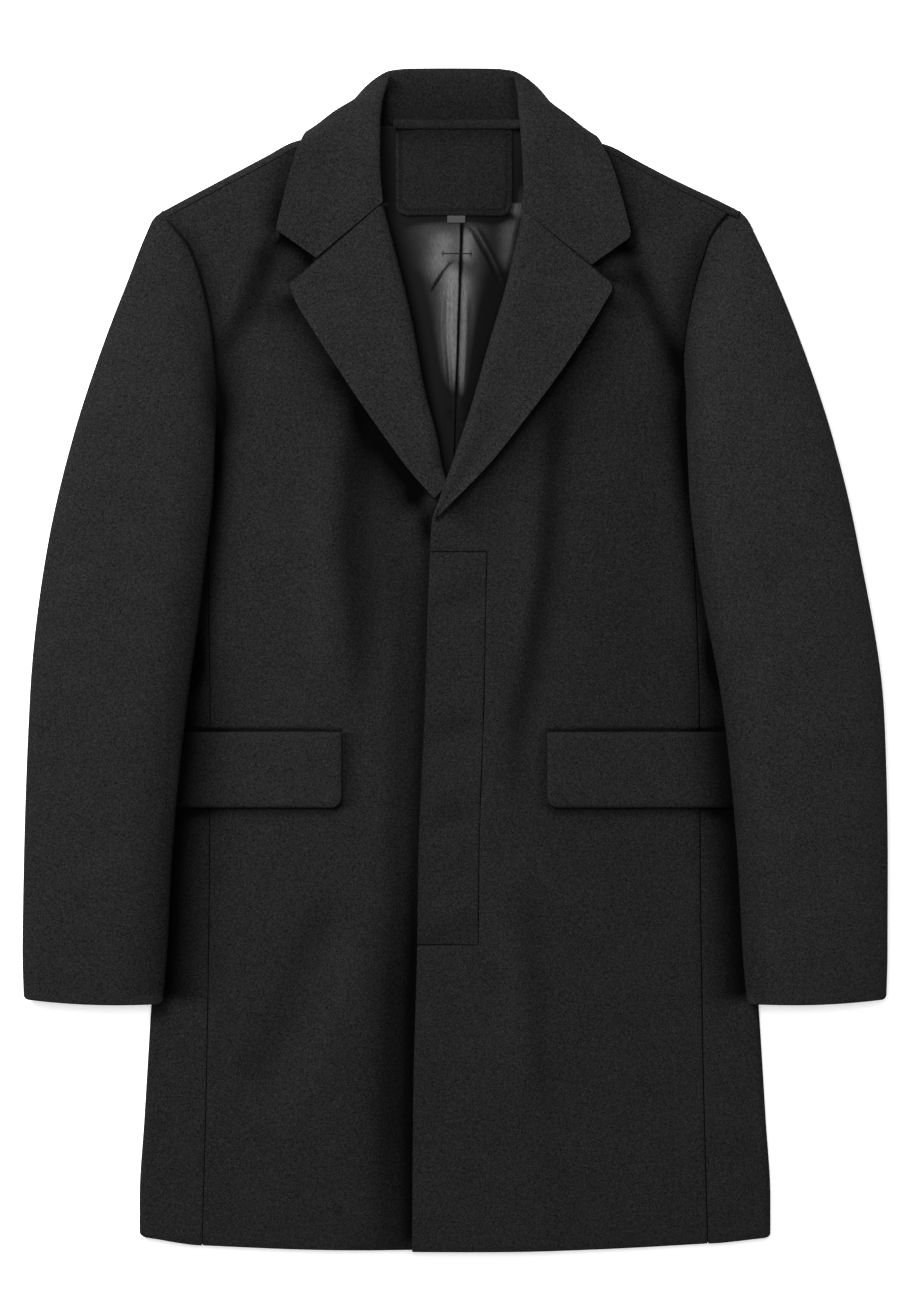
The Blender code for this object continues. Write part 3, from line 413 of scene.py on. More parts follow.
def with_painted_shade(tree, colour):
    """The colour with painted shade: darker where the painted shade is high, lighter as painted light where
    it is below 0.
    """
    lit = calc(tree, "MAXIMUM", calc(tree, "SUBTRACT", 1.0, painted_shade_value(tree)), DARKEST_SHARE)
    return add(tree, "ShaderNodeVectorMath", [(0, colour), ("Scale", lit)], operation="SCALE").outputs[0]


def give_surface(tree, shader, colour, height=None, strength=0.0, distance=0.0):
    """Link a colour to a shader and, where there is a height, its bump."""
    tree.links.new(colour, shader.inputs["Base Color"])
    if height is not None:
        links = [("Strength", strength), ("Distance", distance), ("Height", height)]
        tree.links.new(add(tree, "ShaderNodeBump", links).outputs["Normal"], shader.inputs["Normal"])


def wool_material(name, dark, light, sheen, pile_height):
    material, tree, shader = new_material(
        name, 0.95, Specular_IOR_Level=0.02,
        Sheen_Weight=sheen, Sheen_Roughness=0.35, Sheen_Tint=(0.5, 0.5, 0.51, 1),
    )
    felt = add(tree, "ShaderNodeGroup", node_tree=nap)
    colour = with_painted_shade(tree, colour_between(tree, dark, light, felt.outputs["Tone"]))
    give_surface(tree, shader, colour, felt.outputs["Pile"], 0.8, pile_height)
    return material


# the second and third wools are copies of the first: a lighter one for lapels and collar, as painted light,
# and a darker one for the patch and loop inside the neck, as painted shade
# name, darkest and lightest colour of the nap, sheen, height of the pile
WOOLS = [
    ("black_melton", (0.0032, 0.0032, 0.0033), (0.0187, 0.0187, 0.0189), 0.012, 0.0008),
    ("painted_light_melton", (0.0034, 0.0034, 0.0035), (0.0196, 0.0196, 0.0198), 0.012, 0.0008),
    ("painted_shade_melton", (0.0026, 0.0026, 0.0027), (0.0140, 0.0140, 0.0142), 0.010, 0.0006),
]
melton, painted_light_melton, painted_shade_melton = [wool_material(*wool) for wool in WOOLS]

satin, satin_tree, satin_shader = new_material(
    "black_satin", 0.6, Specular_IOR_Level=0.04, Coat_Roughness=0.24, Coat_IOR=1.5
)
stretched = [("Vector", object_place(satin_tree)), ("Scale", (1.0, 0.12, 1.0))]
floats = add(satin_tree, "ShaderNodeMapping", stretched).outputs[0]
threads = noise(satin_tree, floats, 1800.0)
satin_colour = colour_between(satin_tree, (0.008, 0.008, 0.0085), (0.015, 0.015, 0.0155), threads)
# the satin's colour carries the painted shade, and its coat, which mirrors the lamps, is held back by it,
# so the gleam shows as painted highlight only where that shade is 0 or below
give_surface(satin_tree, satin_shader, with_painted_shade(satin_tree, satin_colour), threads, 0.15, 0.0002)
satin_open = calc(satin_tree, "SUBTRACT", 1.0, painted_shade_value(satin_tree), clamp=True)
thread_gleam = calc(satin_tree, "ADD", threads, SATIN_GLEAM - 0.5)
satin_gleam = calc(satin_tree, "MULTIPLY", satin_open, thread_gleam)
satin_tree.links.new(satin_gleam, satin_shader.inputs["Coat Weight"])

tape, tape_tree, tape_shader = new_material("dark_tape", 0.7, Specular_IOR_Level=0.3)
rib_links = [("Vector", object_place(tape_tree)), ("Scale", 420.0), ("Distortion", 0.6)]
ribs = add(tape_tree, "ShaderNodeTexWave", rib_links).outputs["Fac"]
tape_colour = colour_between(tape_tree, (0.008, 0.008, 0.0085), (0.026, 0.026, 0.027), ribs)
give_surface(tape_tree, tape_shader, tape_colour, ribs, 0.4, 0.0002)

thread, thread_tree, thread_shader = new_material("black_thread", 0.9, Specular_IOR_Level=0.05)
twist = noise(thread_tree, object_place(thread_tree), 5200.0)
thread_colour = colour_between(thread_tree, (0.004, 0.004, 0.004), (0.012, 0.012, 0.012), twist)
give_surface(thread_tree, thread_shader, thread_colour)
print("materials:", [m.name for m in (melton, painted_light_melton, painted_shade_melton, satin, tape, thread)])

# %% [markdown]
# ## From a grid of points to a sheet of cloth
# Each piece is a grid of points on its outer face. Solidify gives the cloth its thickness inwards and
# a small bevel rounds the cut edges over, as a pressed wool edge is round. The same grid tells how
# wide and long the piece was when it was cut: the longest row and the longest column of it.

# %% Cloth pieces
CUTS, PIECES = {}, {}
EDGE_ROUNDING, SHARP_EDGE = 0.38, math.radians(55)


def new_object(name, data):
    """An object of the scene that shows a mesh, a light or a camera."""
    made = bpy.data.objects.new(name, data)
    bpy.context.scene.collection.objects.link(made)
    return made


def sheet_mesh(name, points, flip, tube, keep):
    rows, columns = points.shape[:2]
    index = np.arange(rows * columns).reshape(rows, columns)
    if tube:
        index[:, -1] = index[:, 0]
    quads = np.stack([index[:-1, :-1], index[:-1, 1:], index[1:, 1:], index[1:, :-1]], -1)
    quads = (quads[keep] if keep is not None else quads).reshape(-1, 4)
    mesh = bpy.data.meshes.new(name)
    mesh.from_pydata(points.reshape(-1, 3).tolist(), [], (quads[:, ::-1] if flip else quads).tolist())
    cleaned = bmesh.new()
    cleaned.from_mesh(mesh)
    bmesh.ops.delete(cleaned, geom=[v for v in cleaned.verts if not v.link_faces], context="VERTS")
    cleaned.to_mesh(mesh)
    cleaned.free()
    mesh.shade_smooth()
    return mesh


def cut_size(points, keep):
    """Longest row and column of the grid, and its area, in metres."""
    width = np.linalg.norm(np.diff(points, axis=1), axis=2).sum(1).max()
    length = np.linalg.norm(np.diff(points, axis=0), axis=2).sum(0).max()
    a, b, c, d = points[:-1, :-1], points[:-1, 1:], points[1:, 1:], points[1:, :-1]
    area = np.linalg.norm(np.cross(c - a, d - b), axis=2) / 2
    return width, length, area[keep].sum() if keep is not None else area.sum()


def cloth(node, points, wall, material, flip=False, tube=False, keep=None, also=()):
    """The sheet that takes the place of a node; points[row, column] are on its outer face."""
    name = f"{node}_cloth"
    piece = new_object(name, sheet_mesh(name, points, flip, tube, keep))
    piece.data.materials.append(material)
    solid = piece.modifiers.new("Thickness", "SOLIDIFY")
    solid.thickness, solid.offset = wall, -1
    solid.use_even_offset, solid.use_quality_normals = not tube, True
    edge = piece.modifiers.new("Soft edge", "BEVEL")
    edge.width, edge.segments, edge.limit_method = wall * EDGE_ROUNDING, 2, "ANGLE"
    edge.angle_limit, edge.use_clamp_overlap = SHARP_EDGE, not tube
    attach(piece, "root")
    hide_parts(node, *also)
    width, length, area = cut_size(points, keep)
    PIECES[node] = piece
    CUTS[node] = [round(float(v), 4) for v in (width, length, area)]
    size = f"{1000 * width:.0f} x {1000 * length:.0f} mm, {area:.4f} m2"
    print(f"{name}: cut {size}, {len(piece.data.polygons)} faces")


def side_name(base, side):
    return f"{base}_{'right' if side == RIGHT else 'left'}"


def stacked(x, y, z):
    return np.stack(np.broadcast_arrays(x, y, z), -1)


# %% [markdown]
# ## Fronts and fly
# Each front is drafted in rows from its free edge to the side seam and the armhole. The left one laps
# over the right, and its edge has a window in it: the fly placket, a separate strip that hides the
# buttons, is set into the window with a fine seam all round. The buttons behind it raise the strip a
# little, and the cloth sinks between them.

# %% Fronts and fly placket
# edge x, edge y, y at the side
FRONT_ROWS = {
    RIGHT: [
        (0.0400, -0.4700, -0.4690), (0.0400, -0.3520, -0.3520), (0.0400, -0.2284, -0.2284),
        (0.0400, -0.0600, -0.0600), (0.0360, 0.0600, 0.0600), (0.0040, 0.1200, 0.1150),
        (-0.0176, 0.1516, 0.1450), (-0.0320, 0.2156, 0.1850), (-0.0440, 0.2780, 0.2300),
        (-0.0664, 0.3652, 0.2950), (-0.0750, 0.3950, 0.3260), (-0.0810, 0.4180, 0.3526),
    ],
    LEFT: [
        (-0.0344, -0.4738, -0.4675), (-0.0336, -0.3524, -0.3524), (-0.0305, -0.2284, -0.2284),
        (-0.0296, -0.1604, -0.1604), (-0.0248, -0.0484, -0.0484), (-0.0200, 0.0860, 0.0860),
        (-0.0184, 0.1116, 0.1080), (-0.0032, 0.1316, 0.1250), (0.0200, 0.1996, 0.1750),
        (0.0360, 0.2556, 0.2150), (0.0490, 0.3000, 0.2480), (0.0624, 0.3588, 0.2950),
        (0.0690, 0.3950, 0.3260), (0.0750, 0.4180, 0.3526),
    ],
}
HEM_SAG = {RIGHT: 0.0034, LEFT: 0.0025}
PLACKET_SEAM, PLACKET_BOTTOM_Y, PLACKET_TOP_Y, PLACKET_GAP = 0.217, -0.2284, 0.0860, 0.0004
BUTTON_YS = (0.066, -0.036, -0.104, -0.200)
BUTTON_SWELL, BETWEEN_DIP, FLY_PROUD, FRONT_WIDTH = 0.0020, 0.0024, 0.0006, 0.22
# distances along y: rows near the pocket's mouth, then the rows' spacing below, at and above it
NEAR_POCKET, ROWS_BELOW, ROWS_AT_MOUTH, ROWS_ABOVE = 0.006, 0.0055, 0.0010, 0.0050
SHOULDER_BEND_Y, HEM_SAG_Y, HAIR = 0.300, -0.400, 1e-6
# a button's swell and the dip below it: size along y, slant across the strip, distance below the button
SWELL_SIZE, SWELL_SLANT, DIP_SIZE, DIP_SLANT, DIP_BELOW = 0.014, 0.18, 0.010, 0.25, 0.026
SWELL_AT_EDGE = 0.35
front_at = {
    side: curve_of([((edge_y + side_y) / 2, edge_x, edge_y, side_y) for edge_x, edge_y, side_y in rows])
    for side, rows in FRONT_ROWS.items()
}


def front_points(side, across, knot):
    """Outer face of a front: across runs from the free edge to the side, knot from hem to shoulder."""
    last_x, last_y, last_side_y = FRONT_ROWS[side][-1]
    edge_x, edge_y, side_y = front_at[side](knot)
    turned = armhole_half(side, side_y) - side_edge_at(side_y)[0]
    seam_x = body_x(side, front_edge_half(side_y) + turned - SEAM_GAP, side_y)
    x, y = mix(edge_x, seam_x, across), mix(edge_y, side_y, across)
    top_half = mix(side * (last_x + TURNED_TO_RIGHT), armhole_half(side, last_side_y), across)
    bend = top_edge_y(side, top_half) - mix(last_y, last_side_y, across)
    y = y + smooth_step(SHOULDER_BEND_Y, (last_y + last_side_y) / 2, knot) * bend
    near_hem = smooth_step(HEM_SAG_Y, FRONT_ROWS[side][0][1], knot)
    y = y - HEM_SAG[side] * np.sin(np.pi * across) * near_hem
    return stacked(x, y, front_height(side, x, y))


def front_knots(side):
    """Rows of a front from hem to shoulder, close together at the pocket's mouth."""
    rows = FRONT_ROWS[side]
    low, high = sum(rows[0][1:]) / 2, sum(rows[-1][1:]) / 2
    mouth = [POCKET_Y - NEAR_POCKET, POCKET_Y + NEAR_POCKET]
    below = steps_through([low, PLACKET_BOTTOM_Y, mouth[0]], ROWS_BELOW)
    above = steps_through([mouth[1], PLACKET_TOP_Y, high], ROWS_ABOVE)
    return np.concatenate([below, steps_through(mouth, ROWS_AT_MOUTH)[1:], above[1:]])


FRONT_COLUMNS = runs_through([0, PLACKET_SEAM, 1], [13, 42])
for side in (RIGHT, LEFT):
    knots = front_knots(side)
    points = front_points(side, FRONT_COLUMNS[None, :], knots[:, None])
    keep = None
    if side == LEFT:
        in_fly = (knots[:-1] > PLACKET_BOTTOM_Y - HAIR) & (knots[:-1] < PLACKET_TOP_Y - HAIR)
        keep = ~(in_fly[:, None] & (FRONT_COLUMNS[None, :-1] < PLACKET_SEAM - HAIR))
    cloth(side_name("front", side), points, WOOL_WALL, melton, flip=side == RIGHT, keep=keep)

fly_knots = steps_through([PLACKET_BOTTOM_Y + PLACKET_GAP, PLACKET_TOP_Y - PLACKET_GAP], 0.0035)
fly_columns = np.linspace(0, PLACKET_SEAM - PLACKET_GAP / FRONT_WIDTH, 22)
fly = front_points(LEFT, fly_columns[None, :], fly_knots[:, None])
middle_of_fly = np.sin(np.pi * np.clip(fly_columns / PLACKET_SEAM, 0, 1))[None, :]
for button_y in BUTTON_YS:
    above_button = fly[..., 1] - button_y
    swell = np.exp(-(((above_button - SWELL_SLANT * fly[..., 0]) / SWELL_SIZE) ** 2))
    dip = np.exp(-(((above_button + DIP_BELOW - DIP_SLANT * fly[..., 0]) / DIP_SIZE) ** 2))
    strength = SWELL_AT_EDGE + (1 - SWELL_AT_EDGE) * middle_of_fly
    fly[..., 2] += (BUTTON_SWELL * swell - BETWEEN_DIP * dip) * strength
fly[..., 2] += FLY_PROUD
cloth("fly_placket", fly, WOOL_WALL, melton)

# %% [markdown]
# ## Side panels and back
# A coat of this cut has a third panel on each side, so there is no seam right at the fold. The panel
# starts at the front seam, rolls round the side and ends in a seam under the back. At the top it runs
# on under the sleeve and closes the underarm. The back lies flat on the floor and wraps over the
# shoulders, so its shoulder seam shows half a finger's width in front.

# %% Side panels and back
SIDE_HEM_Y = {side: rows[0][2] for side, rows in FRONT_ROWS.items()}
PANEL_TOP_Y, MOUTH_SHARE = 0.192, 0.012
HEM_RISE, HEM_CORNER, HEM_CURVE = {RIGHT: 0.0080, LEFT: 0.0055}, 0.0045, 1.6
# the middle of the fold and half its length, as places round the side
MID_FOLD, HALF_FOLD = 1.5, 0.5


def side_panel_points(side, around, share):
    """around: 0 to 1 over the upper part, 1 to 2 round the fold, 2 to 3 along the floor."""
    rise = HEM_RISE[side] * np.sin(np.pi / 2 * np.clip(around / MID_FOLD, 0, 1)) ** HEM_CURVE
    turned = np.clip(1 - abs(around - MID_FOLD) / HALF_FOLD, 0, 1)
    corner = HEM_CORNER * (1 - np.sqrt(1 - turned**2))
    hem_y = SIDE_HEM_Y[side] + rise * smooth_step(3.0, MID_FOLD, around) + corner
    y = mix(hem_y, PANEL_TOP_Y, share)
    seam, edge, radius = front_edge_half(y) + SEAM_GAP, side_fold_half(y), fold_radius(y)
    top_half = mix(seam, edge - radius, np.clip(around, 0, 1))
    top_z = mix(body_height(body_x(side, top_half, y), y), 2 * radius, np.clip(around, 0, 1))
    turn = np.pi / 2 - np.pi * np.clip(around - 1, 0, 1)
    floor_half = mix(edge - radius, back_edge_half(y) + SEAM_GAP, np.clip(around - 2, 0, 1))
    fold_half, fold_z = edge - radius + radius * np.cos(turn), radius + radius * np.sin(turn)
    half = np.where(around <= 1, top_half, np.where(around <= 2, fold_half, floor_half))
    z = np.where(around <= 1, top_z, np.where(around <= 2, fold_z, 0.0))
    return stacked(body_x(side, half, y), y, z)


around = runs_through([0, 1, 2, 3], [12, 13, 10])
for side in (RIGHT, LEFT):
    mouth = (POCKET_Y - SIDE_HEM_Y[side]) / (PANEL_TOP_Y - SIDE_HEM_Y[side])
    up_the_side = runs_through([0, mouth - MOUTH_SHARE, mouth + MOUTH_SHARE, 1], [76, 15, 46])
    points = side_panel_points(side, around[None, :], up_the_side[:, None])
    cloth(side_name("side_panel", side), points, WOOL_WALL, melton, flip=side == RIGHT)

SHOULDER_OUTWARD = np.array([0.470, 0.883])
FOLD_RADIUS, SEAM_FORWARD, SHOULDER_GAP, NECK_LIFT = 0.0090, 0.0060, 0.0006, 0.0040
NECK_Y, BACK_HEM_Y, NECK_REACH, SHOULDER_DIP = 0.4225, -0.4680, 0.0048, 0.16
# where the neck is raised, along y and across, and the share of the back's width that dips to the sleeve
LIFT_RISES, LIFT_ENDS, DIP_SPAN = (0.360, 0.415), (0.122, 0.100), (0.91, 1.0)


def neck_lift(half, y):
    """The back is raised at the neck, where the collar leaf is folded under it."""
    return NECK_LIFT * smooth_step(*LIFT_RISES, y) * smooth_step(*LIFT_ENDS, half)


def back_points(column, side_y, wrap):
    """column: -1 to 1 across the back; wrap: 0 on the floor to 1 at the shoulder seam."""
    share, side = abs(column), np.where(column < 0, RIGHT, LEFT)
    half = back_edge_half(side_y) * share
    grown = smooth_step(ARMHOLE_LOW_Y, SHOULDER_TIP_Y, side_y)
    y = mix(side_y + (NECK_Y - SHOULDER_TIP_Y) * grown, side_y, share)
    top_y = top_edge_y(side, back_edge_half(SHOULDER_TIP_Y) * share)
    y = y + grown * (top_y - mix(NECK_Y, SHOULDER_TIP_Y, share))
    shoulder = smooth_step(*BESIDE_COLLAR, half)
    turn = mix(-np.pi / 2, math.acos((FOLD_RADIUS - SEAM_FORWARD) / FOLD_RADIUS), wrap)
    drawn_in = (FOLD_RADIUS - SEAM_FORWARD - SHOULDER_GAP) * shoulder * grown
    reach = FOLD_RADIUS * np.cos(turn) * shoulder - drawn_in
    plan_half = half + SHOULDER_OUTWARD[0] * reach
    plan_y = y + SHOULDER_OUTWARD[1] * reach + NECK_REACH * wrap * (1 - shoulder)
    dip = 1 - SHOULDER_DIP * smooth_step(*DIP_SPAN, share) * grown
    z = FOLD_RADIUS * (1 + np.sin(turn)) * shoulder * dip + neck_lift(half, plan_y)
    return stacked(body_x(side, plan_half, plan_y), plan_y, z)


back_columns = np.linspace(-1, 1, 81)
flat_rows = steps_through([BACK_HEM_Y, ARMHOLE_LOW_Y, SHOULDER_TIP_Y], 0.0075)
side_ys = np.concatenate([flat_rows, np.full(14, SHOULDER_TIP_Y)])
wraps = np.concatenate([np.zeros(len(flat_rows)), np.linspace(0, 1, 15)[1:]])
points = back_points(back_columns[None, :], side_ys[:, None], wraps[:, None])
cloth("back", points, WOOL_WALL, melton, flip=True)

# %% [markdown]
# ## Sleeves
# A sleeve is a tube. Lying down it is flattened: flat where it rests on the floor, raised where it
# climbs onto the coat's side, and rounded along both folds. Its head follows the armhole, and a seam
# allowance turns in under the front there, so that the seam is a groove and not a gap.

# %% Sleeves
# outer half, outer y, inner half, inner y, outer height, inner height, share of the armhole's shape
SLEEVE_ROWS = [
    (0.2336, 0.3570, 0.1880, 0.2040, 0.0180, 0.0170, 1.00),
    (0.2520, 0.3180, 0.1886, 0.1750, 0.0260, 0.0290, 0.60),
    (0.2760, 0.2580, 0.1900, 0.1320, 0.0290, 0.0340, 0.25),
    (0.3035, 0.1740, 0.1950, 0.0850, 0.0295, 0.0370, 0.05),
    (0.3230, 0.0900, 0.2012, 0.0400, 0.0295, 0.0380, 0.00),
    (0.3400, -0.0324, 0.2138, -0.0400, 0.0290, 0.0380, 0.00),
    (0.3448, -0.1604, 0.2256, -0.1604, 0.0280, 0.0360, 0.00),
    (0.3460, -0.2324, 0.2294, -0.2324, 0.0260, 0.0330, 0.00),
    (0.3452, -0.2716, 0.2328, -0.2750, 0.0240, 0.0300, 0.00),
]
SLEEVE_CREASES = [
    ([(-0.300, 0.120), (-0.268, 0.072), (-0.236, 0.050)], 0.014, -0.0012),
    ([(-0.322, 0.010), (-0.280, -0.020), (-0.245, -0.020)], 0.016, -0.0012),
    ([(-0.250, 0.190), (-0.232, 0.120), (-0.226, 0.060)], 0.012, -0.0014),
    ([(-0.335, -0.120), (-0.290, -0.150), (-0.255, -0.140)], 0.018, -0.0010),
    ([(0.240, 0.232), (0.239, 0.205), (0.236, 0.180)], 0.005, -0.0012),
    ([(0.302, 0.110), (0.268, 0.062), (0.238, 0.044)], 0.014, -0.0012),
    ([(0.325, 0.000), (0.285, -0.034), (0.250, -0.028)], 0.016, -0.0012),
    ([(0.338, -0.140), (0.292, -0.168), (0.255, -0.160)], 0.018, -0.0010),
]
sleeve_at = curve_by_row(SLEEVE_ROWS)
LAST_SLEEVE_ROW = len(SLEEVE_ROWS) - 1
CUFF_CORNER, CUFF_SAG, LEFT_FULLER = 0.0035, 0.0022, 0.0026
# squareness of the section: upper half, inner and outer fold of the lower half, then its flatness
UPPER_SQUARE, INNER_SQUARE, OUTER_SQUARE, UNDER_FLAT = 2.6, 22, 6, 1.12
# the seam allowance, row by row: how far it goes in under the front, and how far down
ALLOWANCE = ((0.0065, 0.0032), (0.0007, 0.0030), (0.0003, 0.0010))
# the head: how much fuller, tucked in and raised it is, how fast that fades from the outer fold, and
# the rows over which it sets in or ends
SLEEVE_CAP, CAP_TUCK, CAP_RISE = {RIGHT: 0.0025, LEFT: 0.0008}, 0.0026, 0.0017
CAP_FADE, TUCK_FADE, RISE_FADE = 3, 20, 12
CAP_STARTS, CAP_ENDS, FULLER_ROWS = (0, 0.14), (1.5, 0.35), (7, 5)
TUCK_ROWS, RISE_ROWS = (0.25, 0), (0.55, 0.05)
FLAP_TOP_Y, FLAP_BOTTOM_Y, FLAP_REST, FLAP_RIM_LIFT = -0.0580, -0.1185, 0.0030, 0.0012
FLAP_OUTER_HALF = 0.2235
# how far beside the flap and the coat's fold the sleeve comes down, and where its allowance is sewn in
FLAP_SLOPE, FLAP_SIDE_OUT, FLAP_SIDE_IN, FOLD_SLOPE = 0.012, 0.004, 0.001, 0.007
SEWN_SPAN, LEAST_TURNED_IN, LEAST_SEWN = (0.05, 0.35), 0.5, 0.25


def corner_inset(radius, distance):
    """How far a rounded corner has drawn in, at a distance from the edge it ends on."""
    return radius - np.sqrt(radius**2 - np.maximum(radius - distance, 0) ** 2)


def sleeve_rest(half, y):
    """Height of what lies under a sleeve: the floor, or the coat's side and the pocket flap."""
    edge = side_fold_half(y)
    flap = (FLAP_REST + FLAP_RIM_LIFT) * smooth_step(FLAP_BOTTOM_Y - FLAP_SLOPE, FLAP_BOTTOM_Y, y)
    flap = flap * smooth_step(FLAP_TOP_Y + FLAP_SLOPE, FLAP_TOP_Y, y)
    flap = flap * smooth_step(FLAP_OUTER_HALF + FLAP_SIDE_OUT, FLAP_OUTER_HALF - FLAP_SIDE_IN, half)
    on_body = loft_at(y)[1] + flap + LAY_GAP
    return on_body * sleeve_climb(y) * smooth_step(edge + FOLD_SLOPE, edge, half)


def sleeve_points(side, turn, row):
    """turn goes round the tube from its outer fold over the top; row goes from the head to the cuff."""
    outer_half, outer_y, inner_half, inner_y, outer_top, inner_top, head = sleeve_at(row)
    first = SLEEVE_ROWS[0]
    cross = np.cos(turn)
    share = (1 - cross) / 2
    seam_y = mix(SLEEVE_HEAD_Y, ARMHOLE_LOW_Y, share)
    seam_half = armhole_half(side, seam_y)
    half = mix(outer_half, inner_half, share) + head * (seam_half - mix(first[0], first[2], share))
    y = mix(outer_y, inner_y, share) + head * (seam_y - mix(first[1], first[3], share))
    near_head = smooth_step(*CAP_STARTS, row) * smooth_step(*CAP_ENDS, row)
    half = half + SLEEVE_CAP[side] * (1 - share) ** CAP_FADE * near_head
    half = half - CAP_TUCK * (1 - share) ** TUCK_FADE * smooth_step(*TUCK_ROWS, row)
    if side == LEFT:
        half = half + LEFT_FULLER * (1 - share) * (1 - head) * smooth_step(*FULLER_ROWS, row)
    y = y + CAP_RISE * (1 - share) ** RISE_FADE * smooth_step(*RISE_ROWS, row)
    cuff = smooth_step(LAST_SLEEVE_ROW - 1, LAST_SLEEVE_ROW, row)
    from_fold = (outer_half - inner_half) * np.minimum(share, 1 - share)
    y = y + (corner_inset(CUFF_CORNER, from_fold) - CUFF_SAG * np.sin(np.pi * share)) * cuff
    x = body_x(side, half, y)
    seam_height = body_height(body_x(side, seam_half, seam_y), seam_y)
    top = mix(mix(outer_top, inner_top, share), seam_height, head**3)
    rest = sleeve_rest(half, y)
    over = (1 - abs(cross) ** UPPER_SQUARE) ** (1 / UPPER_SQUARE)
    square = np.where(cross < 0, INNER_SQUARE, OUTER_SQUARE)
    under = -np.minimum(1.0, UNDER_FLAT * np.sqrt(1 - abs(cross) ** square))
    upper = np.sin(turn) >= 0
    z = (top + rest) / 2 + np.where(upper, over, under) * (top - rest) / 2
    soft = creases_rise(SLEEVE_CREASES, x, y) * np.where(upper, over, 0)
    return stacked(x, y, z + soft * (1 - head))


turns = runs_through([0, np.pi, 2 * np.pi], [45, 33])
sleeve_rows = np.linspace(0, LAST_SLEEVE_ROW, 130)
for side in (RIGHT, LEFT):
    points = sleeve_points(side, turns[None, :], sleeve_rows[:, None])
    inward = points[0] - points[1]
    inward[:, 2] = 0
    inward /= np.linalg.norm(inward, axis=1, keepdims=True)
    on_top = smooth_step(*SEWN_SPAN, np.sin(turns))
    turned_in = np.maximum(on_top, LEAST_TURNED_IN)[:, None]
    allowance = [
        points[0] + turned_in * (inward * reach - np.array([0, 0, drop]))
        for reach, drop in ALLOWANCE
    ]
    points = np.concatenate([np.array(allowance), points])
    keep = np.ones((len(points) - 1, len(turns) - 1), bool)
    keep[:len(ALLOWANCE)] = (on_top[:-1] > LEAST_SEWN) & (on_top[1:] > LEAST_SEWN)
    cloth(side_name("sleeve", side), points, WOOL_WALL, melton,
          flip=side == RIGHT, tube=True, keep=keep)

# %% [markdown]
# ## Lapels
# A lapel is the front's own edge turned back. It isn't pressed to a crease: it rolls over, fullest
# near the collar, and then settles on the chest. Its section is a few points of the roll followed by
# a gentle descent to the outer edge, and the section shrinks towards where the fronts cross.

# %% Lapels
# fold x, fold y, rim x, rim y, from the crossing up to the gorge
LAPEL_ROWS = {
    RIGHT: [
        (-0.0055, 0.1400, -0.0165, 0.1287), (-0.0096, 0.1530, -0.0330, 0.1470),
        (-0.0136, 0.1756, -0.0572, 0.1792), (-0.0240, 0.2156, -0.0826, 0.2157),
        (-0.0344, 0.2716, -0.1084, 0.2552), (-0.0480, 0.3276, -0.1258, 0.2830),
        (-0.0576, 0.3640, -0.1328, 0.2988),
    ],
    LEFT: [
        (-0.0180, 0.1130, -0.0130, 0.1145), (-0.0112, 0.1316, 0.0000, 0.1276),
        (0.0000, 0.1636, 0.0250, 0.1532), (0.0120, 0.1996, 0.0514, 0.1858),
        (0.0280, 0.2556, 0.0892, 0.2365), (0.0400, 0.2956, 0.1144, 0.2760),
        (0.0544, 0.3580, 0.1272, 0.2980),
    ],
}
CREST_REACH, CREST_HEIGHT = 0.0065, 0.0066
# place along the roll, distance from the fold line, height over the front
lapel_roll_at = curve_of([
    (0, 0.0045, -0.0030), (1, 0.0008, -0.0012), (2, 0.0, 0.0014), (3, 0.0018, 0.0046),
    (4, CREST_REACH, CREST_HEIGHT),
])
LAPEL_REST, FULL_WIDTH, RIM_CURL, SETTLED = 0.0042, 0.030, 0.0012, 0.6
LAPEL_CORNER = {RIGHT: 0.0030, LEFT: 0.0050}
# the close rows at a corner, as distances from the last row, and where they begin on lapel and collar
NEAR_CORNER = np.array([0.22, 0.16, 0.11, 0.07, 0.04, 0.015, 0.0])
LAPEL_CLOSE, COLLAR_CLOSE = 0.30, 0.14
LAPEL_CREASES = [
    ([(0.047, 0.318), (0.066, 0.307), (0.088, 0.300)], 0.0050, -0.0022),
    ([(0.052, 0.306), (0.070, 0.297), (0.088, 0.291)], 0.0055, 0.0010),
    ([(-0.030, 0.185), (-0.022, 0.165), (-0.014, 0.150)], 0.0060, 0.0010),
]


def lapel_points(side, rolling, settling, row):
    """rolling: places on the roll; settling: shares from the roll's crest to the rim."""
    fold_x, fold_y, rim_x, rim_y = curve_by_row(LAPEL_ROWS[side])(row)
    width = np.hypot(rim_x - fold_x, rim_y - fold_y)
    tip_x, tip_y = LAPEL_ROWS[side][-1][2:]
    rim_reach = width - corner_inset(LAPEL_CORNER[side], np.hypot(rim_x - tip_x, rim_y - tip_y))
    full = np.minimum(1.0, width / FULL_WIDTH)
    roll_reach, roll_height = lapel_roll_at(rolling)
    roll_height = mix(LAPEL_REST, roll_height, full)
    falling = mix(LAPEL_REST, CREST_HEIGHT, full * (1 - smooth_step(0, SETTLED, settling)))
    flat_height = falling + RIM_CURL * full * settling**3
    reach = np.concatenate([roll_reach * full, mix(CREST_REACH * full, rim_reach, settling)], 1)
    height = np.concatenate([roll_height, flat_height], 1)
    x = fold_x + (rim_x - fold_x) * reach / width
    y = fold_y + (rim_y - fold_y) * reach / width
    z = lay_height(x, y) + lap_height(side, x, y) + height
    return stacked(x, y, z + creases_rise(LAPEL_CREASES, x, y))


for side in (RIGHT, LEFT):
    last_row = len(LAPEL_ROWS[side]) - 1
    rows = np.concatenate([np.linspace(0, last_row - LAPEL_CLOSE, 80), last_row - NEAR_CORNER])[:, None]
    points = lapel_points(side, np.linspace(0, 4, 19)[None, :], np.linspace(0, 1, 27)[None, 1:], rows)
    cloth(side_name("lapel", side), points, LAPEL_WALL, painted_light_melton, flip=side == RIGHT)

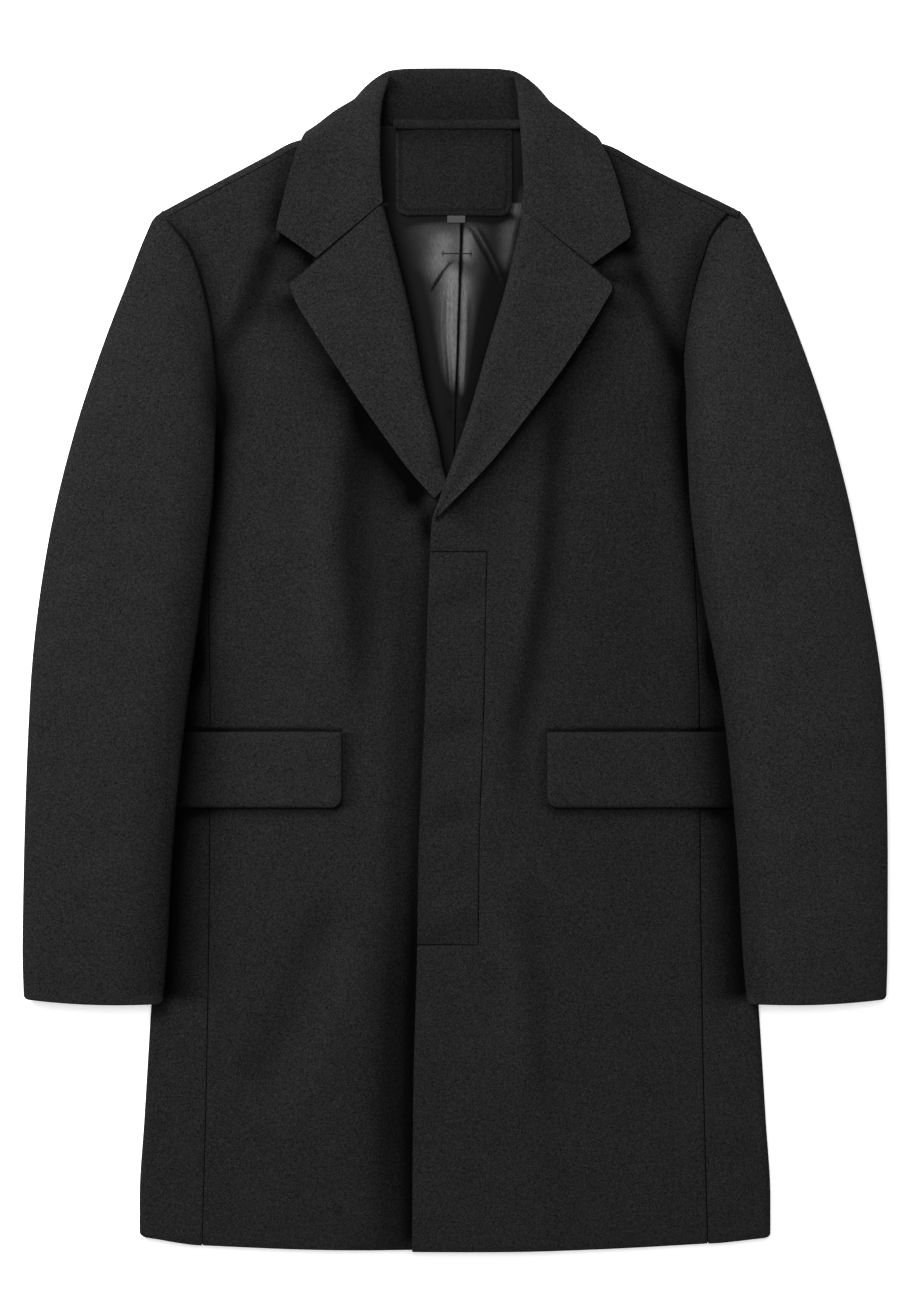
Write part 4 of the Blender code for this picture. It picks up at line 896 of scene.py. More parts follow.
# %% [markdown]
# ## Collar
# The upper collar is cut in one: it starts at the neck seam, goes up the inside of the stand, turns
# over the roll and comes down as the leaf. In front the leaf lies on the chest with its point free; at
# the back it has fallen under the neck, so from above one sees the inside of the stand and the roll.

# %% Collar
# neck seam, stand's top, roll, middle, rim as (half width, y, z), then how straight the section is
COLLAR_ROWS = [
    ((0.0000, 0.4275, 0.0085), (0.0000, 0.4680, 0.0085), (0.0000, 0.4740, 0.0042),
     (0.0000, 0.4500, 0.0000), (0.0000, 0.4240, 0.0000), 0),
    ((0.0300, 0.4275, 0.0088), (0.0300, 0.4680, 0.0088), (0.0300, 0.4738, 0.0044),
     (0.0340, 0.4500, 0.0000), (0.0400, 0.4235, 0.0000), 0),
    ((0.0440, 0.4280, 0.0100), (0.0465, 0.4650, 0.0110), (0.0500, 0.4712, 0.0080),
     (0.0640, 0.4605, 0.0020), (0.0740, 0.4225, 0.0000), 0),
    ((0.0500, 0.4290, 0.0115), (0.0505, 0.4560, 0.0120), (0.0535, 0.4580, 0.0150),
     (0.0795, 0.4475, 0.0090), (0.0930, 0.4180, 0.0000), 0),
    ((0.0535, 0.4285, 0.0125), (0.0545, 0.4425, 0.0140), (0.0565, 0.4430, 0.0210),
     (0.0930, 0.4370, 0.0180), (0.1135, 0.4240, 0.0090), 0),
    ((0.0590, 0.4230, 0.0130), (0.0575, 0.4250, 0.0160), (0.0572, 0.4250, 0.0245),
     (0.0930, 0.4240, 0.0250), (0.1225, 0.4085, 0.0245), 0),
    ((0.0610, 0.3950, 0.0152), (0.0585, 0.3956, 0.0180), (0.0570, 0.3956, 0.0265),
     (0.0930, 0.3980, 0.0250), (0.1290, 0.3876, 0.0270), 0),
    ((0.0590, 0.3650, 0.0152), (0.0565, 0.3650, 0.0180), (0.0546, 0.3650, 0.0265),
     (0.1080, 0.3206, 0.0250), (0.1400, 0.3430, 0.0280), 1),
]
SECTION_POINTS = 5
collar_at = curve_of([(i, *np.ravel(row[:SECTION_POINTS]), row[-1]) for i, row in enumerate(COLLAR_ROWS)])
LAST_COLLAR_ROW = len(COLLAR_ROWS) - 1
COLLAR_CORNER = {RIGHT: 0.0025, LEFT: 0.0045}
# how the left half differs: its point lies further out and lower, its roll further in
LEFT_POINT_OUT, LEFT_POINT_DROP, LEFT_ROLL_IN, LEFT_LEAF_DROP = 0.0040, 0.0055, 0.0024, 0.0035
# rows of the section over which the point moves, the leaf drops and rises again, the roll moves in
POINT_ROWS, DROP_STARTS, DROP_ENDS, ROLL_ROWS = (4, LAST_COLLAR_ROW), (2.5, 4), (6, 4), (3, 4.5)
# places on the section from the roll to the leaf, and back
TO_LEAF, TO_ROLL = (2, 3), (3, 2)


def section_slope(before, point, after):
    """Direction of the rounded line at a point of a section; a near neighbour counts for more."""
    near = np.sqrt(np.linalg.norm(point - before, axis=-1, keepdims=True))
    far = np.sqrt(np.linalg.norm(after - point, axis=-1, keepdims=True))
    return (point - before) / near - (after - before) / (near + far) + (after - point) / far


def collar_points(side, place, row):
    """One line round half the neck: place goes from the neck seam (0) over the roll (2) to the rim (4)."""
    flat = collar_at(row)
    sections = np.moveaxis(flat[:-1].reshape(SECTION_POINTS, 3, -1), 2, 0)
    middle, rim = sections[:, -2], sections[:, -1]
    from_point = np.linalg.norm(rim - np.array(COLLAR_ROWS[-1][SECTION_POINTS - 1]), axis=-1, keepdims=True)
    inset = corner_inset(COLLAR_CORNER[side], from_point)
    sections[:, -1] = rim + (middle - rim) * inset / np.linalg.norm(middle - rim, axis=-1, keepdims=True)
    i = min(int(place), SECTION_POINTS - 2)
    start, end = sections[:, i], sections[:, i + 1]
    before = sections[:, i - 1] if i else 2 * start - end
    after = sections[:, i + 2] if i < SECTION_POINTS - 2 else 2 * end - start
    span = np.sqrt(np.linalg.norm(end - start, axis=-1, keepdims=True))
    leaving, arriving = section_slope(before, start, end) * span, section_slope(start, end, after) * span
    curved = rounded(start, end, leaving, arriving, place - i)
    half, y, z = np.moveaxis(mix(curved, mix(start, end, place - i), flat[-1][:, None]), 1, 0)
    if side == LEFT:
        moved = smooth_step(*POINT_ROWS, row)
        low_rows = smooth_step(*DROP_STARTS, row) * smooth_step(*DROP_ENDS, row)
        dropped = low_rows * smooth_step(*TO_LEAF, place)
        drawn_in = LEFT_ROLL_IN * smooth_step(*ROLL_ROWS, row) * smooth_step(*TO_ROLL, place)
        half = half + LEFT_POINT_OUT * moved - drawn_in
        y = y - LEFT_LEAF_DROP * dropped - LEFT_POINT_DROP * moved
    return stacked(body_x(side, half, y), y, np.maximum(z, 0.0))


places = steps_through([0, 1, 2, 3, 4], 0.055)
half_rows = np.concatenate([
    np.linspace(0, LAST_COLLAR_ROW - COLLAR_CLOSE, 75), LAST_COLLAR_ROW - NEAR_CORNER / 2,
])


def collar_line(place):
    """The whole line at one place of the section, from the right point round the neck to the left one."""
    right, left = [collar_points(side, place, half_rows) for side in (RIGHT, LEFT)]
    return np.concatenate([right[::-1], left[1:]])


collar = np.stack([collar_line(place) for place in places], 1)
cloth("collar_leaf", collar, LAPEL_WALL, painted_light_melton, flip=True, also=("collar_stand",))

# %% [markdown]
# ## Pocket flaps
# Each flap hangs from its pocket's mouth: the top edge goes into the mouth, the lower edge stands off
# the coat by its own thickness, and the lower inner corner is rounded.

# %% Pocket flaps
# distance of each flap's inner end from x = 0
FLAP_INNER = {RIGHT: 0.0904, LEFT: 0.0736}
FLAP_CORNER, FLAP_WALL = 0.0085, 0.0020
FLAP_ROLL, FLAP_ROLL_DROP, FLAP_TUCK, TUCKED_DEPTH = 0.0050, 0.0022, 0.0022, 0.004
drop = FLAP_TOP_Y - FLAP_BOTTOM_Y
near_edge = FLAP_CORNER * (1 - np.cos(np.linspace(0, np.pi / 2, 12)))
up = np.concatenate([near_edge, np.linspace(FLAP_CORNER, drop, 22)[1:]])[:, None]
for side in (RIGHT, LEFT):
    inner = FLAP_INNER[side] + corner_inset(FLAP_CORNER, up)
    length = side * body_x(side, FLAP_OUTER_HALF, FLAP_BOTTOM_Y + up) - inner
    far = mix(FLAP_CORNER, length, np.linspace(0, 1, 40)[None, 1:])
    from_end = np.concatenate([near_edge + 0 * up, far], 1)
    x, y = side * (inner + from_end), FLAP_BOTTOM_Y + up + 0 * from_end
    from_rim = np.minimum(from_end, up)
    tucked = FLAP_TUCK * smooth_step(drop - TUCKED_DEPTH, drop, up)
    lift = FLAP_REST + FLAP_RIM_LIFT * (1 - up / drop) ** 2 - tucked
    lift = lift - FLAP_ROLL_DROP / FLAP_ROLL * corner_inset(FLAP_ROLL, from_rim)
    points = stacked(x, y, lay_height(x, y) + lap_height(side, x, y) + lift)
    cloth(side_name("pocket_flap", side), points, FLAP_WALL, melton, flip=side == RIGHT)

# %% [markdown]
# ## Inside the neck
# The lining is satin with a pleat down the middle of the back, so that the coat can give when the
# wearer reaches forward. Over it sit the neck patch of the coat's own cloth, a rolled hanger loop and
# a small size tab, left bare. The satin gets its own soft folds; its gleam is the lamps mirrored in its
# coat, shown only where painted highlights lie, and painted shade darkens the rest.

# %% Lining, patch, loop and tab
# y, half width of the lining that shows
lining_at = curve_of([
    (0.1300, 0.016), (0.1756, 0.030), (0.2156, 0.044), (0.2716, 0.058), (0.3650, 0.066), (0.4255, 0.062),
])
PATCH_X, PATCH_HALF, PATCH_TOP_Y, PATCH_BOTTOM_Y, PATCH_CORNER = -0.0008, 0.0465, 0.4245, 0.3555, 0.0085
LINING_BOTTOM_Y, LINING_TOP_Y, LINING_WALL, LINING_CLEAR = 0.1300, 0.4255, 0.0008, 0.0010
PLEAT_BOTTOM_X, PLEAT_TOP_X, PLEAT_HIGH, PLEAT_SLOPE = -0.0022, 0.0050, 0.0010, 0.0010
BILLOW, BILLOW_SPAN = 0.0050, (0.95, 0.15)
LINING_CREASES = [
    # pulls from the tack, to the right and to the left of the pleat
    ([(0.0000, 0.3210), (-0.0090, 0.3100), (-0.0200, 0.2935)], 0.0009, -0.0004),
    ([(-0.0015, 0.3225), (-0.0110, 0.3115), (-0.0215, 0.2955)], 0.0013, 0.0004),
    ([(0.0075, 0.3490), (0.0150, 0.3420), (0.0260, 0.3230), (0.0385, 0.2980)], 0.0010, -0.0005),
    ([(0.0095, 0.3505), (0.0180, 0.3430), (0.0290, 0.3240), (0.0412, 0.2990)], 0.0020, 0.0004),
    # long folds beside the pleat
    ([(-0.0090, 0.3080), (-0.0110, 0.2650), (-0.0060, 0.2050)], 0.0018, 0.0003),
    ([(-0.0050, 0.3120), (-0.0065, 0.2650), (-0.0030, 0.2000)], 0.0012, -0.0002),
    ([(-0.0015, 0.3160), (-0.0025, 0.2700), (-0.0005, 0.2050)], 0.0014, 0.0002),
    ([(0.0085, 0.3050), (0.0080, 0.2550), (0.0055, 0.2000)], 0.0034, 0.0005),
    # where the fronts squeeze the satin
    ([(0.0000, 0.2080), (0.0080, 0.2000), (0.0130, 0.1950)], 0.0030, 0.0004),
    ([(-0.0060, 0.2000), (0.0020, 0.1900), (0.0080, 0.1860)], 0.0028, -0.0006),
]


def pleat_x(y):
    share = (y - LINING_BOTTOM_Y) / (PATCH_BOTTOM_Y - LINING_BOTTOM_Y)
    return mix(PLEAT_BOTTOM_X, PLEAT_TOP_X, share)


def lining_height(x, y):
    """The satin without its small creases: raised over the middle, with a step along the pleat."""
    half = abs(x - middle_x(y))
    below_patch = smooth_step(PATCH_TOP_Y, PATCH_BOTTOM_Y, y)
    billow = BILLOW * smooth_step(*BILLOW_SPAN, half / lining_at(y)[0]) * below_patch
    pleat = PLEAT_HIGH * smooth_step(pleat_x(y) + PLEAT_SLOPE, pleat_x(y), x) * below_patch
    return neck_lift(half, y) + WOOL_WALL + LAY_GAP + LINING_CLEAR + billow + pleat


def highest_lining(x, y, reach):
    """The satin's height within a reach to both sides; what lies on it bridges its folds."""
    return np.max([lining_height(x + dx, y) for dx in (-reach, 0.0, reach)], axis=0)


lining_ys = steps_through([LINING_BOTTOM_Y, LINING_TOP_Y], 0.0016)[:, None]
spread = np.linspace(-1, 1, 150)[None, :]
x = middle_x(lining_ys) + spread * lining_at(lining_ys)[0]
y = lining_ys + 0 * x
z = lining_height(x, y) + creases_rise(LINING_CREASES, x, y)
cloth("back_lining", stacked(x, y, z), LINING_WALL, satin)

PATCH_STITCH_INSET, PATCH_WALL, PATCH_BRIDGES, PATCH_EDGE = 0.0040, 0.0018, 0.006, 0.0065
STITCH_GROOVE, GROOVE_HALF, PATCH_RIM_DROP, PATCH_RIM = 0.0004, 0.0009, 0.0008, 0.0022


def patch_height(x, y):
    return highest_lining(x, y, PATCH_BRIDGES) + SEAM_GAP + LAY_GAP + PATCH_WALL


edge_steps = np.linspace(0, PATCH_EDGE, 14)
patch_high = PATCH_TOP_Y - PATCH_BOTTOM_Y
patch_up = np.concatenate([edge_steps, np.linspace(edge_steps[-1], patch_high, 30)[1:]])[:, None]
patch_ys = PATCH_BOTTOM_Y + patch_up
half = PATCH_HALF - corner_inset(PATCH_CORNER, patch_up)
inner = half - edge_steps[-1]
across = inner * np.linspace(-1, 1, 36)[None, 1:-1]
x = np.concatenate([-half + edge_steps, across, half - edge_steps[::-1]], 1)
from_edge = np.minimum(half - abs(x), patch_up)
groove = STITCH_GROOVE * np.exp(-(((from_edge - PATCH_STITCH_INSET) / GROOVE_HALF) ** 2))
rim = PATCH_RIM_DROP * smooth_step(PATCH_RIM, 0.0, from_edge)
patch_z = patch_height(PATCH_X + x, patch_ys + 0 * x) - groove - rim
patch_points = stacked(PATCH_X + x, patch_ys, patch_z)
cloth("neck_patch", patch_points, PATCH_WALL, painted_shade_melton)

LOOP_X, LOOP_HALF, LOOP_BOTTOM_Y, LOOP_TOP_Y = 0.0015, 0.0505, 0.4250, 0.4312
LOOP_HIGH, LOOP_WALL, LOOP_END_Z, LOOP_ENDS, LOOP_SQUARE = 0.0032, 0.0008, 0.0125, (0.8, 1.0), 0.75
# the loop follows the collar's neck seam, which the first rows of the collar give
neck_seam = np.array([row[0] for row in COLLAR_ROWS[:4]])
along = np.linspace(-1, 1, 61)[:, None]
turn = np.linspace(0, 2 * np.pi, 29)[None, :]
seam_z = np.interp(abs(along) * LOOP_HALF, neck_seam[:, 0], neck_seam[:, 2])
end_z = np.maximum(seam_z, LOOP_END_Z * smooth_step(*LOOP_ENDS, abs(along))) + LAY_GAP
loop_round = np.sign(np.sin(turn)) * abs(np.sin(turn)) ** LOOP_SQUARE
loop_y = mix(LOOP_BOTTOM_Y, LOOP_TOP_Y, 0.5 + 0.5 * np.cos(turn)) + 0 * along
loop_z = end_z + LOOP_HIGH * (0.5 + 0.5 * loop_round)
loop = stacked(LOOP_X + along * LOOP_HALF, loop_y, loop_z)
cloth("hanger_loop", loop, LOOP_WALL, painted_shade_melton, flip=True, tube=True)

TAB_X, TAB_HALF, TAB_TOP_Y, TAB_BOTTOM_Y = 0.0010, 0.0072, 0.3553, 0.3493
TAB_WALL, TAB_HIGH, TAB_STEPS, TAB_BRIDGES = 0.0003, 0.0010, 9, 0.004
fold_turn = np.linspace(-np.pi / 2, np.pi / 2, TAB_STEPS)[1:-1]
up = np.linspace(TAB_BOTTOM_Y + TAB_HIGH / 2, TAB_TOP_Y, TAB_STEPS)
fold_y = TAB_BOTTOM_Y + TAB_HIGH / 2 * (1 - np.cos(fold_turn))
fold_z = TAB_HIGH / 2 * (1 + np.sin(fold_turn))
tab_ys = np.concatenate([up[::-1], fold_y, up])[:, None]
layer_z = np.concatenate([np.zeros(TAB_STEPS), fold_z, np.full(TAB_STEPS, TAB_HIGH)])[:, None]
x = TAB_X + np.linspace(-1, 1, 15)[None, :] * TAB_HALF
tab_z = highest_lining(x, tab_ys + 0 * x, TAB_BRIDGES) + SEAM_GAP + layer_z
cloth("size_tab", stacked(x, tab_ys, tab_z), TAB_WALL, tape)

# %% [markdown]
# ## Painted shade
# The shade that falls in folds and beside thick edges is painted into the cloth's colour. Each sheet
# but the tab gets a value for it, worked out from the distance to the creases, to the sleeves' inner
# edges, and to the rims of lapels, collar, flaps and fly. The materials darken with it, and lighten
# where it is below 0, as painted light. On the satin it also holds back the coat's gleam.

# %% Painted shade values
def paint_shade_on(node, shades, base=0.0):
    """Store the painted shade of a piece: the sum of its shades at each point, over a base value."""
    mesh = PIECES[node].data
    places = np.empty(3 * len(mesh.vertices))
    mesh.vertices.foreach_get("co", places)
    x, y = places.reshape(-1, 3)[:, :2].T
    shade = sum(crease_rise(path, width, depth, x, y, *fades) for path, width, depth, *fades in shades)
    values = base + 0 * x + shade
    stored = mesh.attributes.new("painted_shade", "FLOAT", "POINT")
    stored.data.foreach_set("value", np.clip(values, -0.3, 1.0).astype(np.float32))
    print(node, "hollow up to", round(float(values.max()), 2))


def points_of(rows, first, second):
    return [(row[first], row[second]) for row in rows]


def plan_place(side, half, y):
    return float(body_x(side, half, y)), float(y)


def collar_place(side, place, row):
    x, y = collar_points(side, place, np.array([row]))[0, :2]
    return float(x), float(y)


# what differs between the sides: widths and depths of painted shades, then the painted shade over the
# whole of three pieces, which below 0 is painted light
SIDE_SHADES = {
    RIGHT: {
        "flap end": (0.0100, 0.55), "beside sleeve": (0.014, 0.030), "sleeve edge": (0.024, 0.50),
        "lapel rim": 0.46, "under collar": 0.95, "notch": 0.10, "seam": 0.60,
        "flap": -0.08, "sleeve": -0.07, "lapel": -0.03,
    },
    LEFT: {
        "flap end": (0.0060, 0.40), "beside sleeve": (0.010, 0.023), "sleeve edge": (0.012, 0.40),
        "lapel rim": 0.38, "under collar": 0.58, "notch": 0.36, "seam": 0.20,
        "flap": -0.02, "sleeve": -0.19, "lapel": -0.09,
    },
}
ARMHOLE_YS, SEAM_YS = (0.352, 0.328, 0.288, 0.256, 0.204, 0.160), np.linspace(0.354, 0.210, 30)
# creases narrower than this are the pocket mouths
MOUTH_WIDTH, MOUTH_SHADE, FOLD_SPREAD, FOLD_SHADE = 0.003, 0.7, 1.15, 48

# path, half width, depth of the painted shade, and the shares of the path over which it fades in and out
fold_shades = [
    (path, FOLD_SPREAD * width, -FOLD_SHADE * rise, 0.25, 0.25)
    for path, width, rise in CREASES if width > MOUTH_WIDTH
]
mouth_shades = [
    (path, width, MOUTH_SHADE, 0.02, 0.02) for path, width, rise in CREASES if width < MOUTH_WIDTH
]
# painted shade beside the left front's edge, below the right lapel and down to the hem
beside_fly = [
    ([(-0.080, 0.206), (-0.062, 0.176), (-0.040, 0.143), (-0.024, 0.118)], 0.018, 0.28, 0.20, 0.10),
    (points_of(FRONT_ROWS[LEFT], 0, 1)[:8], 0.009, 0.62, 0.02, 0.02),
    ([(-0.040, 0.138), (-0.026, 0.118), (-0.023, 0.088)], 0.0065, 0.36, 0.20, 0.30),
    ([(-0.058, 0.190), (-0.058, 0.110), (-0.052, 0.040), (-0.050, -0.010)], 0.030, 0.24, 0.20, 0.50),
    ([(-0.046, -0.500), (-0.052, -0.350), (-0.046, -0.250), (-0.040, -0.130)], 0.024, 0.36, 0.02, 0.40),
]
# painted shade on the right chest: along its fold, below the collar's point, beside the armhole and below
# the lapel
on_right_chest = [
    ([(-0.146, 0.345), (-0.153, 0.300), (-0.162, 0.278), (-0.186, 0.240)], 0.008, 0.18, 0.30, 0.20),
    ([(-0.150, 0.335), (-0.148, 0.290), (-0.138, 0.262)], 0.020, 0.20, 0.15, 0.30),
    ([(-0.186, 0.270), (-0.180, 0.235), (-0.176, 0.205), (-0.178, 0.170)], 0.014, 0.25, 0.25, 0.25),
    ([(-0.104, 0.240), (-0.088, 0.208), (-0.070, 0.180)], 0.014, 0.24, 0.25, 0.25),
]
# painted shade on the left front: a broad darkening of all of it, then along its folds and beside the
# armhole
on_left_chest = [
    ([(0.120, 0.300), (0.120, 0.000), (0.120, -0.300)], 0.085, 0.10, 0.20, 0.50),
    ([(0.128, 0.280), (0.100, 0.225), (0.082, 0.185), (0.060, 0.155)], 0.022, 0.20, 0.20, 0.30),
    ([(0.140, 0.320), (0.149, 0.300), (0.158, 0.280), (0.166, 0.260), (0.182, 0.220)],
     0.007, 0.26, 0.15, 0.20),
    ([(0.170, 0.262), (0.166, 0.235), (0.166, 0.200), (0.168, 0.150)], 0.016, 0.18, 0.25, 0.40),
    ([(0.140, 0.316), (0.140, 0.296), (0.130, 0.270)], 0.012, 0.30, 0.25, 0.30),
    ([(0.050, -0.010), (0.047, -0.075), (0.043, -0.130)], 0.009, 0.24, 0.30, 0.40),
]
# painted shade on each side: beside the sleeve, below the lapel's and collar's rims, in the notch, under
# the flap and along the armhole seam; painted light over the whole sleeve, flap and lapel
for side in (RIGHT, LEFT):
    differs = SIDE_SHADES[side]
    armhole = [plan_place(side, armhole_half(side, y), y) for y in ARMHOLE_YS]
    seam_path = [plan_place(side, armhole_half(side, y), y) for y in SEAM_YS]
    inner_edge = [plan_place(side, row[2], row[3]) for row in SLEEVE_ROWS[2:]]
    sleeve_edge = armhole[2:-1] + inner_edge
    lapel_rim = points_of(LAPEL_ROWS[side], 2, 3)
    collar_rim = [collar_place(side, 4.0, row) for row in (4.6, 5.2, 6.0, 6.6, 7.0)]
    gorge = collar_place(side, 3.0, LAST_COLLAR_ROW)
    under_collar, over_lapel = [collar_rim[-1], gorge], [lapel_rim[-1], gorge]
    notch_mouth = [collar_rim[-1], lapel_rim[-1]]
    flap_x, flap_edge_x = side * FLAP_INNER[side], side * FLAP_OUTER_HALF
    flap_edge = [(flap_x, FLAP_BOTTOM_Y), (flap_edge_x, FLAP_BOTTOM_Y)]
    flap_end = [(flap_x, FLAP_TOP_Y), (flap_x, FLAP_BOTTOM_Y)]
    upper_width, lower_width = differs["beside sleeve"]
    beside_sleeve = [
        (armhole[3:-1] + inner_edge[:4], upper_width, 0.80, 0.30, 0.15),
        (inner_edge[2:], lower_width, 0.92, 0.30, 0.02),
    ]
    on_chest = [
        (lapel_rim, 0.012, differs["lapel rim"], 0.06, 0.06),
        (lapel_rim, 0.030, 0.28, 0.06, 0.06),
        (collar_rim, 0.016, 0.46, 0.06, 0.06),
        (under_collar, 0.0090, differs["under collar"], 0.03, 0.03),
        (over_lapel, 0.0075, 0.45, 0.03, 0.03),
        (notch_mouth, 0.013, differs["notch"], 0.06, 0.06),
    ]
    under_flap = [(flap_edge, 0.0065, 0.60, 0.03, 0.03), (flap_end, *differs["flap end"], 0.03, 0.03)]
    at_seam = [(armhole, 0.010, 0.30, 0.30, 0.30), (seam_path, 0.0016, differs["seam"], 0.03, 0.20)]
    front_shades = fold_shades + mouth_shades + beside_sleeve + on_chest + under_flap + at_seam
    own_shades = beside_fly + on_right_chest if side == RIGHT else on_left_chest
    paint_shade_on(side_name("front", side), front_shades + own_shades)
    paint_shade_on(side_name("side_panel", side), fold_shades + mouth_shades + beside_sleeve + under_flap)
    paint_shade_on(side_name("pocket_flap", side), beside_sleeve, base=differs["flap"])
    sleeve_shades = [(sleeve_edge, *differs["sleeve edge"], 0.35, 0.02)] + at_seam
    paint_shade_on(side_name("sleeve", side), sleeve_shades, base=differs["sleeve"])
    # painted light along the lapel's rim and its top edge
    painted_rim_light = [(lapel_rim, 0.0035, -0.15, 0.05, 0.02), (over_lapel, 0.0030, -0.12, 0.05, 0.05)]
    paint_shade_on(side_name("lapel", side), painted_rim_light, base=differs["lapel"])
# a little painted shade over the whole fly, and the creases' painted shade
paint_shade_on("fly_placket", fold_shades, base=0.05)
# the back's shoulder strip gets painted shade beside the left half of the collar, the last one above
paint_shade_on("back", [(collar_rim, 0.020, 0.40, 0.06, 0.06)])

# painted shade on the inside of the stand, darkest along the roll's sides
on_stand = np.tile(smooth_step(1.8, 1.4, places), len(collar))
paint_shade_on("collar_leaf", [
    ([(-0.060, 0.430), (0.054, 0.430)], 0.050, 0.46 * on_stand, 0.01, 0.01),
    ([(-0.049, 0.466), (-0.058, 0.452), (-0.060, 0.425)], 0.009, 0.45 * on_stand, 0.05, 0.02),
    ([(0.048, 0.468), (0.053, 0.452), (0.054, 0.425)], 0.007, 0.45 * on_stand, 0.05, 0.02),
])
# painted shade under the loop and along the patch's stitches, over a little painted shade on all of it
patch_seam_x = (-0.0425, -0.0425, -0.038, 0.038, 0.0425, 0.0425)
patch_seam_y = (0.424, 0.365, 0.3595, 0.3595, 0.365, 0.424)
patch_seam = [(PATCH_X + x, y) for x, y in zip(patch_seam_x, patch_seam_y)]
paint_shade_on("neck_patch", [
    ([(-0.050, 0.424), (0.047, 0.424)], 0.010, 0.30, 0.05, 0.05),
    (patch_seam, 0.0012, 0.45, 0.02, 0.02),
], base=0.06)
paint_shade_on("hanger_loop", [])

# satin: painted shade all over, with painted highlights beside the pleat and over the shoulder blades,
# where the shade is lifted and the coat gleams
# painted shade along the lapels' folds, the collar's sides and the patch's edges
edges = [(points_of(LAPEL_ROWS[side], 0, 1), 0.021, 0.45, 0.02, 0.02) for side in (RIGHT, LEFT)]
edges += [([(x, 0.365), (x, 0.430)], 0.016, 0.60, 0.02, 0.02) for x in (-0.061, 0.054)]
edges += [([(-0.048, 0.424), (-0.048, 0.356), (0.045, 0.356), (0.045, 0.424)], 0.0060, 0.55, 0.02, 0.02)]
# painted shade lines: the pleat, the pulls from the tack and the ends of the bar tack
pleat_path = [(float(pleat_x(y)) + 0.001, y) for y in (0.350, 0.300, 0.240, 0.150)]
lines = [(pleat_path, 0.0012, 1.0, 0.02, 0.02)]
lines += [(path, 0.0008, 0.45, 0.15, 0.15) for path, width, rise in LINING_CREASES[:4] if rise < 0]
lines += [([(x, 0.3278), (x, 0.3222)], 0.0008, 0.45, 0.10, 0.10) for x in (-0.0098, 0.0126)]
painted_gleams = [
    # painted highlights where the satin puffs out above the tack, left and right of the pleat
    ([(-0.0080, 0.3460), (-0.0092, 0.3320), (-0.0125, 0.3180), (-0.0190, 0.2990)],
     0.0088, -0.50, 0.25, 0.45),
    ([(0.0085, 0.3470), (0.0095, 0.3350), (0.0085, 0.3150)], 0.0058, -0.52, 0.30, 0.30),
    # painted highlights where it is drawn tight down both sides of the pleat
    ([(-0.0005, 0.3190), (-0.0035, 0.2950), (-0.0038, 0.2600), (-0.0015, 0.2250), (-0.0010, 0.2020)],
     0.0066, -0.66, 0.10, 0.40),
    ([(0.0070, 0.3140), (0.0078, 0.2750), (0.0058, 0.2350), (0.0055, 0.1960)],
     0.0058, -0.52, 0.15, 0.30),
    # painted highlights over the shoulder blades
    ([(0.0525, 0.4100), (0.0520, 0.3650), (0.0430, 0.3450), (0.0415, 0.3250), (0.0405, 0.2980)],
     0.0080, -0.64, 0.40, 0.25),
    ([(-0.0450, 0.3480), (-0.0360, 0.3020)], 0.0150, -0.10, 0.10, 0.30),
]
paint_shade_on("back_lining", edges + lines + painted_gleams, base=0.72)

# %% [markdown]
# ## Stitches
# A machine stitch is a short, slightly sunken dash of thread. Placing each by hand would be tedious,
# so Geometry Nodes do it: a path is cut into even steps, and a small thread dash lies on each step,
# turned along the path. The same tree sews the patch, the pleat's bar tack and the loop's ends.

# %% Stitch tree
sewing = bpy.data.node_groups.new("machine_stitches", "GeometryNodeTree")
sewing.is_modifier = True
sewing.interface.new_socket("Geometry", in_out="INPUT", socket_type="NodeSocketGeometry")
STEP, DASH, THICK = [
    sewing.interface.new_socket(title, in_out="INPUT", socket_type="NodeSocketFloat")
    for title in ("Stitch step", "Dash length", "Thread radius")
]
sewing.interface.new_socket("Geometry", in_out="OUTPUT", socket_type="NodeSocketGeometry")
tree_in, tree_out = sewing.nodes.new("NodeGroupInput"), sewing.nodes.new("NodeGroupOutput")
path = add(sewing, "GeometryNodeMeshToCurve", [(0, tree_in.outputs["Geometry"])])
step_links = [("Curve", path.outputs[0]), ("Length", tree_in.outputs["Stitch step"])]
even = add(sewing, "GeometryNodeResampleCurve", step_links, mode="LENGTH")
tangent = add(sewing, "GeometryNodeInputTangent").outputs[0]
along_path = add(sewing, "FunctionNodeAlignRotationToVector", [("Vector", tangent)], axis="Z").outputs[0]
dash_size = [("Radius", tree_in.outputs["Thread radius"]), ("Depth", tree_in.outputs["Dash length"])]
dash = add(sewing, "GeometryNodeMeshCylinder", [("Vertices", 6)] + dash_size)
dash_links = [("Points", even.outputs[0]), ("Instance", dash.outputs["Mesh"]), ("Rotation", along_path)]
sewn = add(sewing, "GeometryNodeInstanceOnPoints", dash_links)
real = add(sewing, "GeometryNodeRealizeInstances", [(0, sewn.outputs[0])])
dressed = add(sewing, "GeometryNodeSetMaterial", [("Geometry", real.outputs[0]), ("Material", thread)])
sewing.links.new(dressed.outputs[0], tree_out.inputs[0])


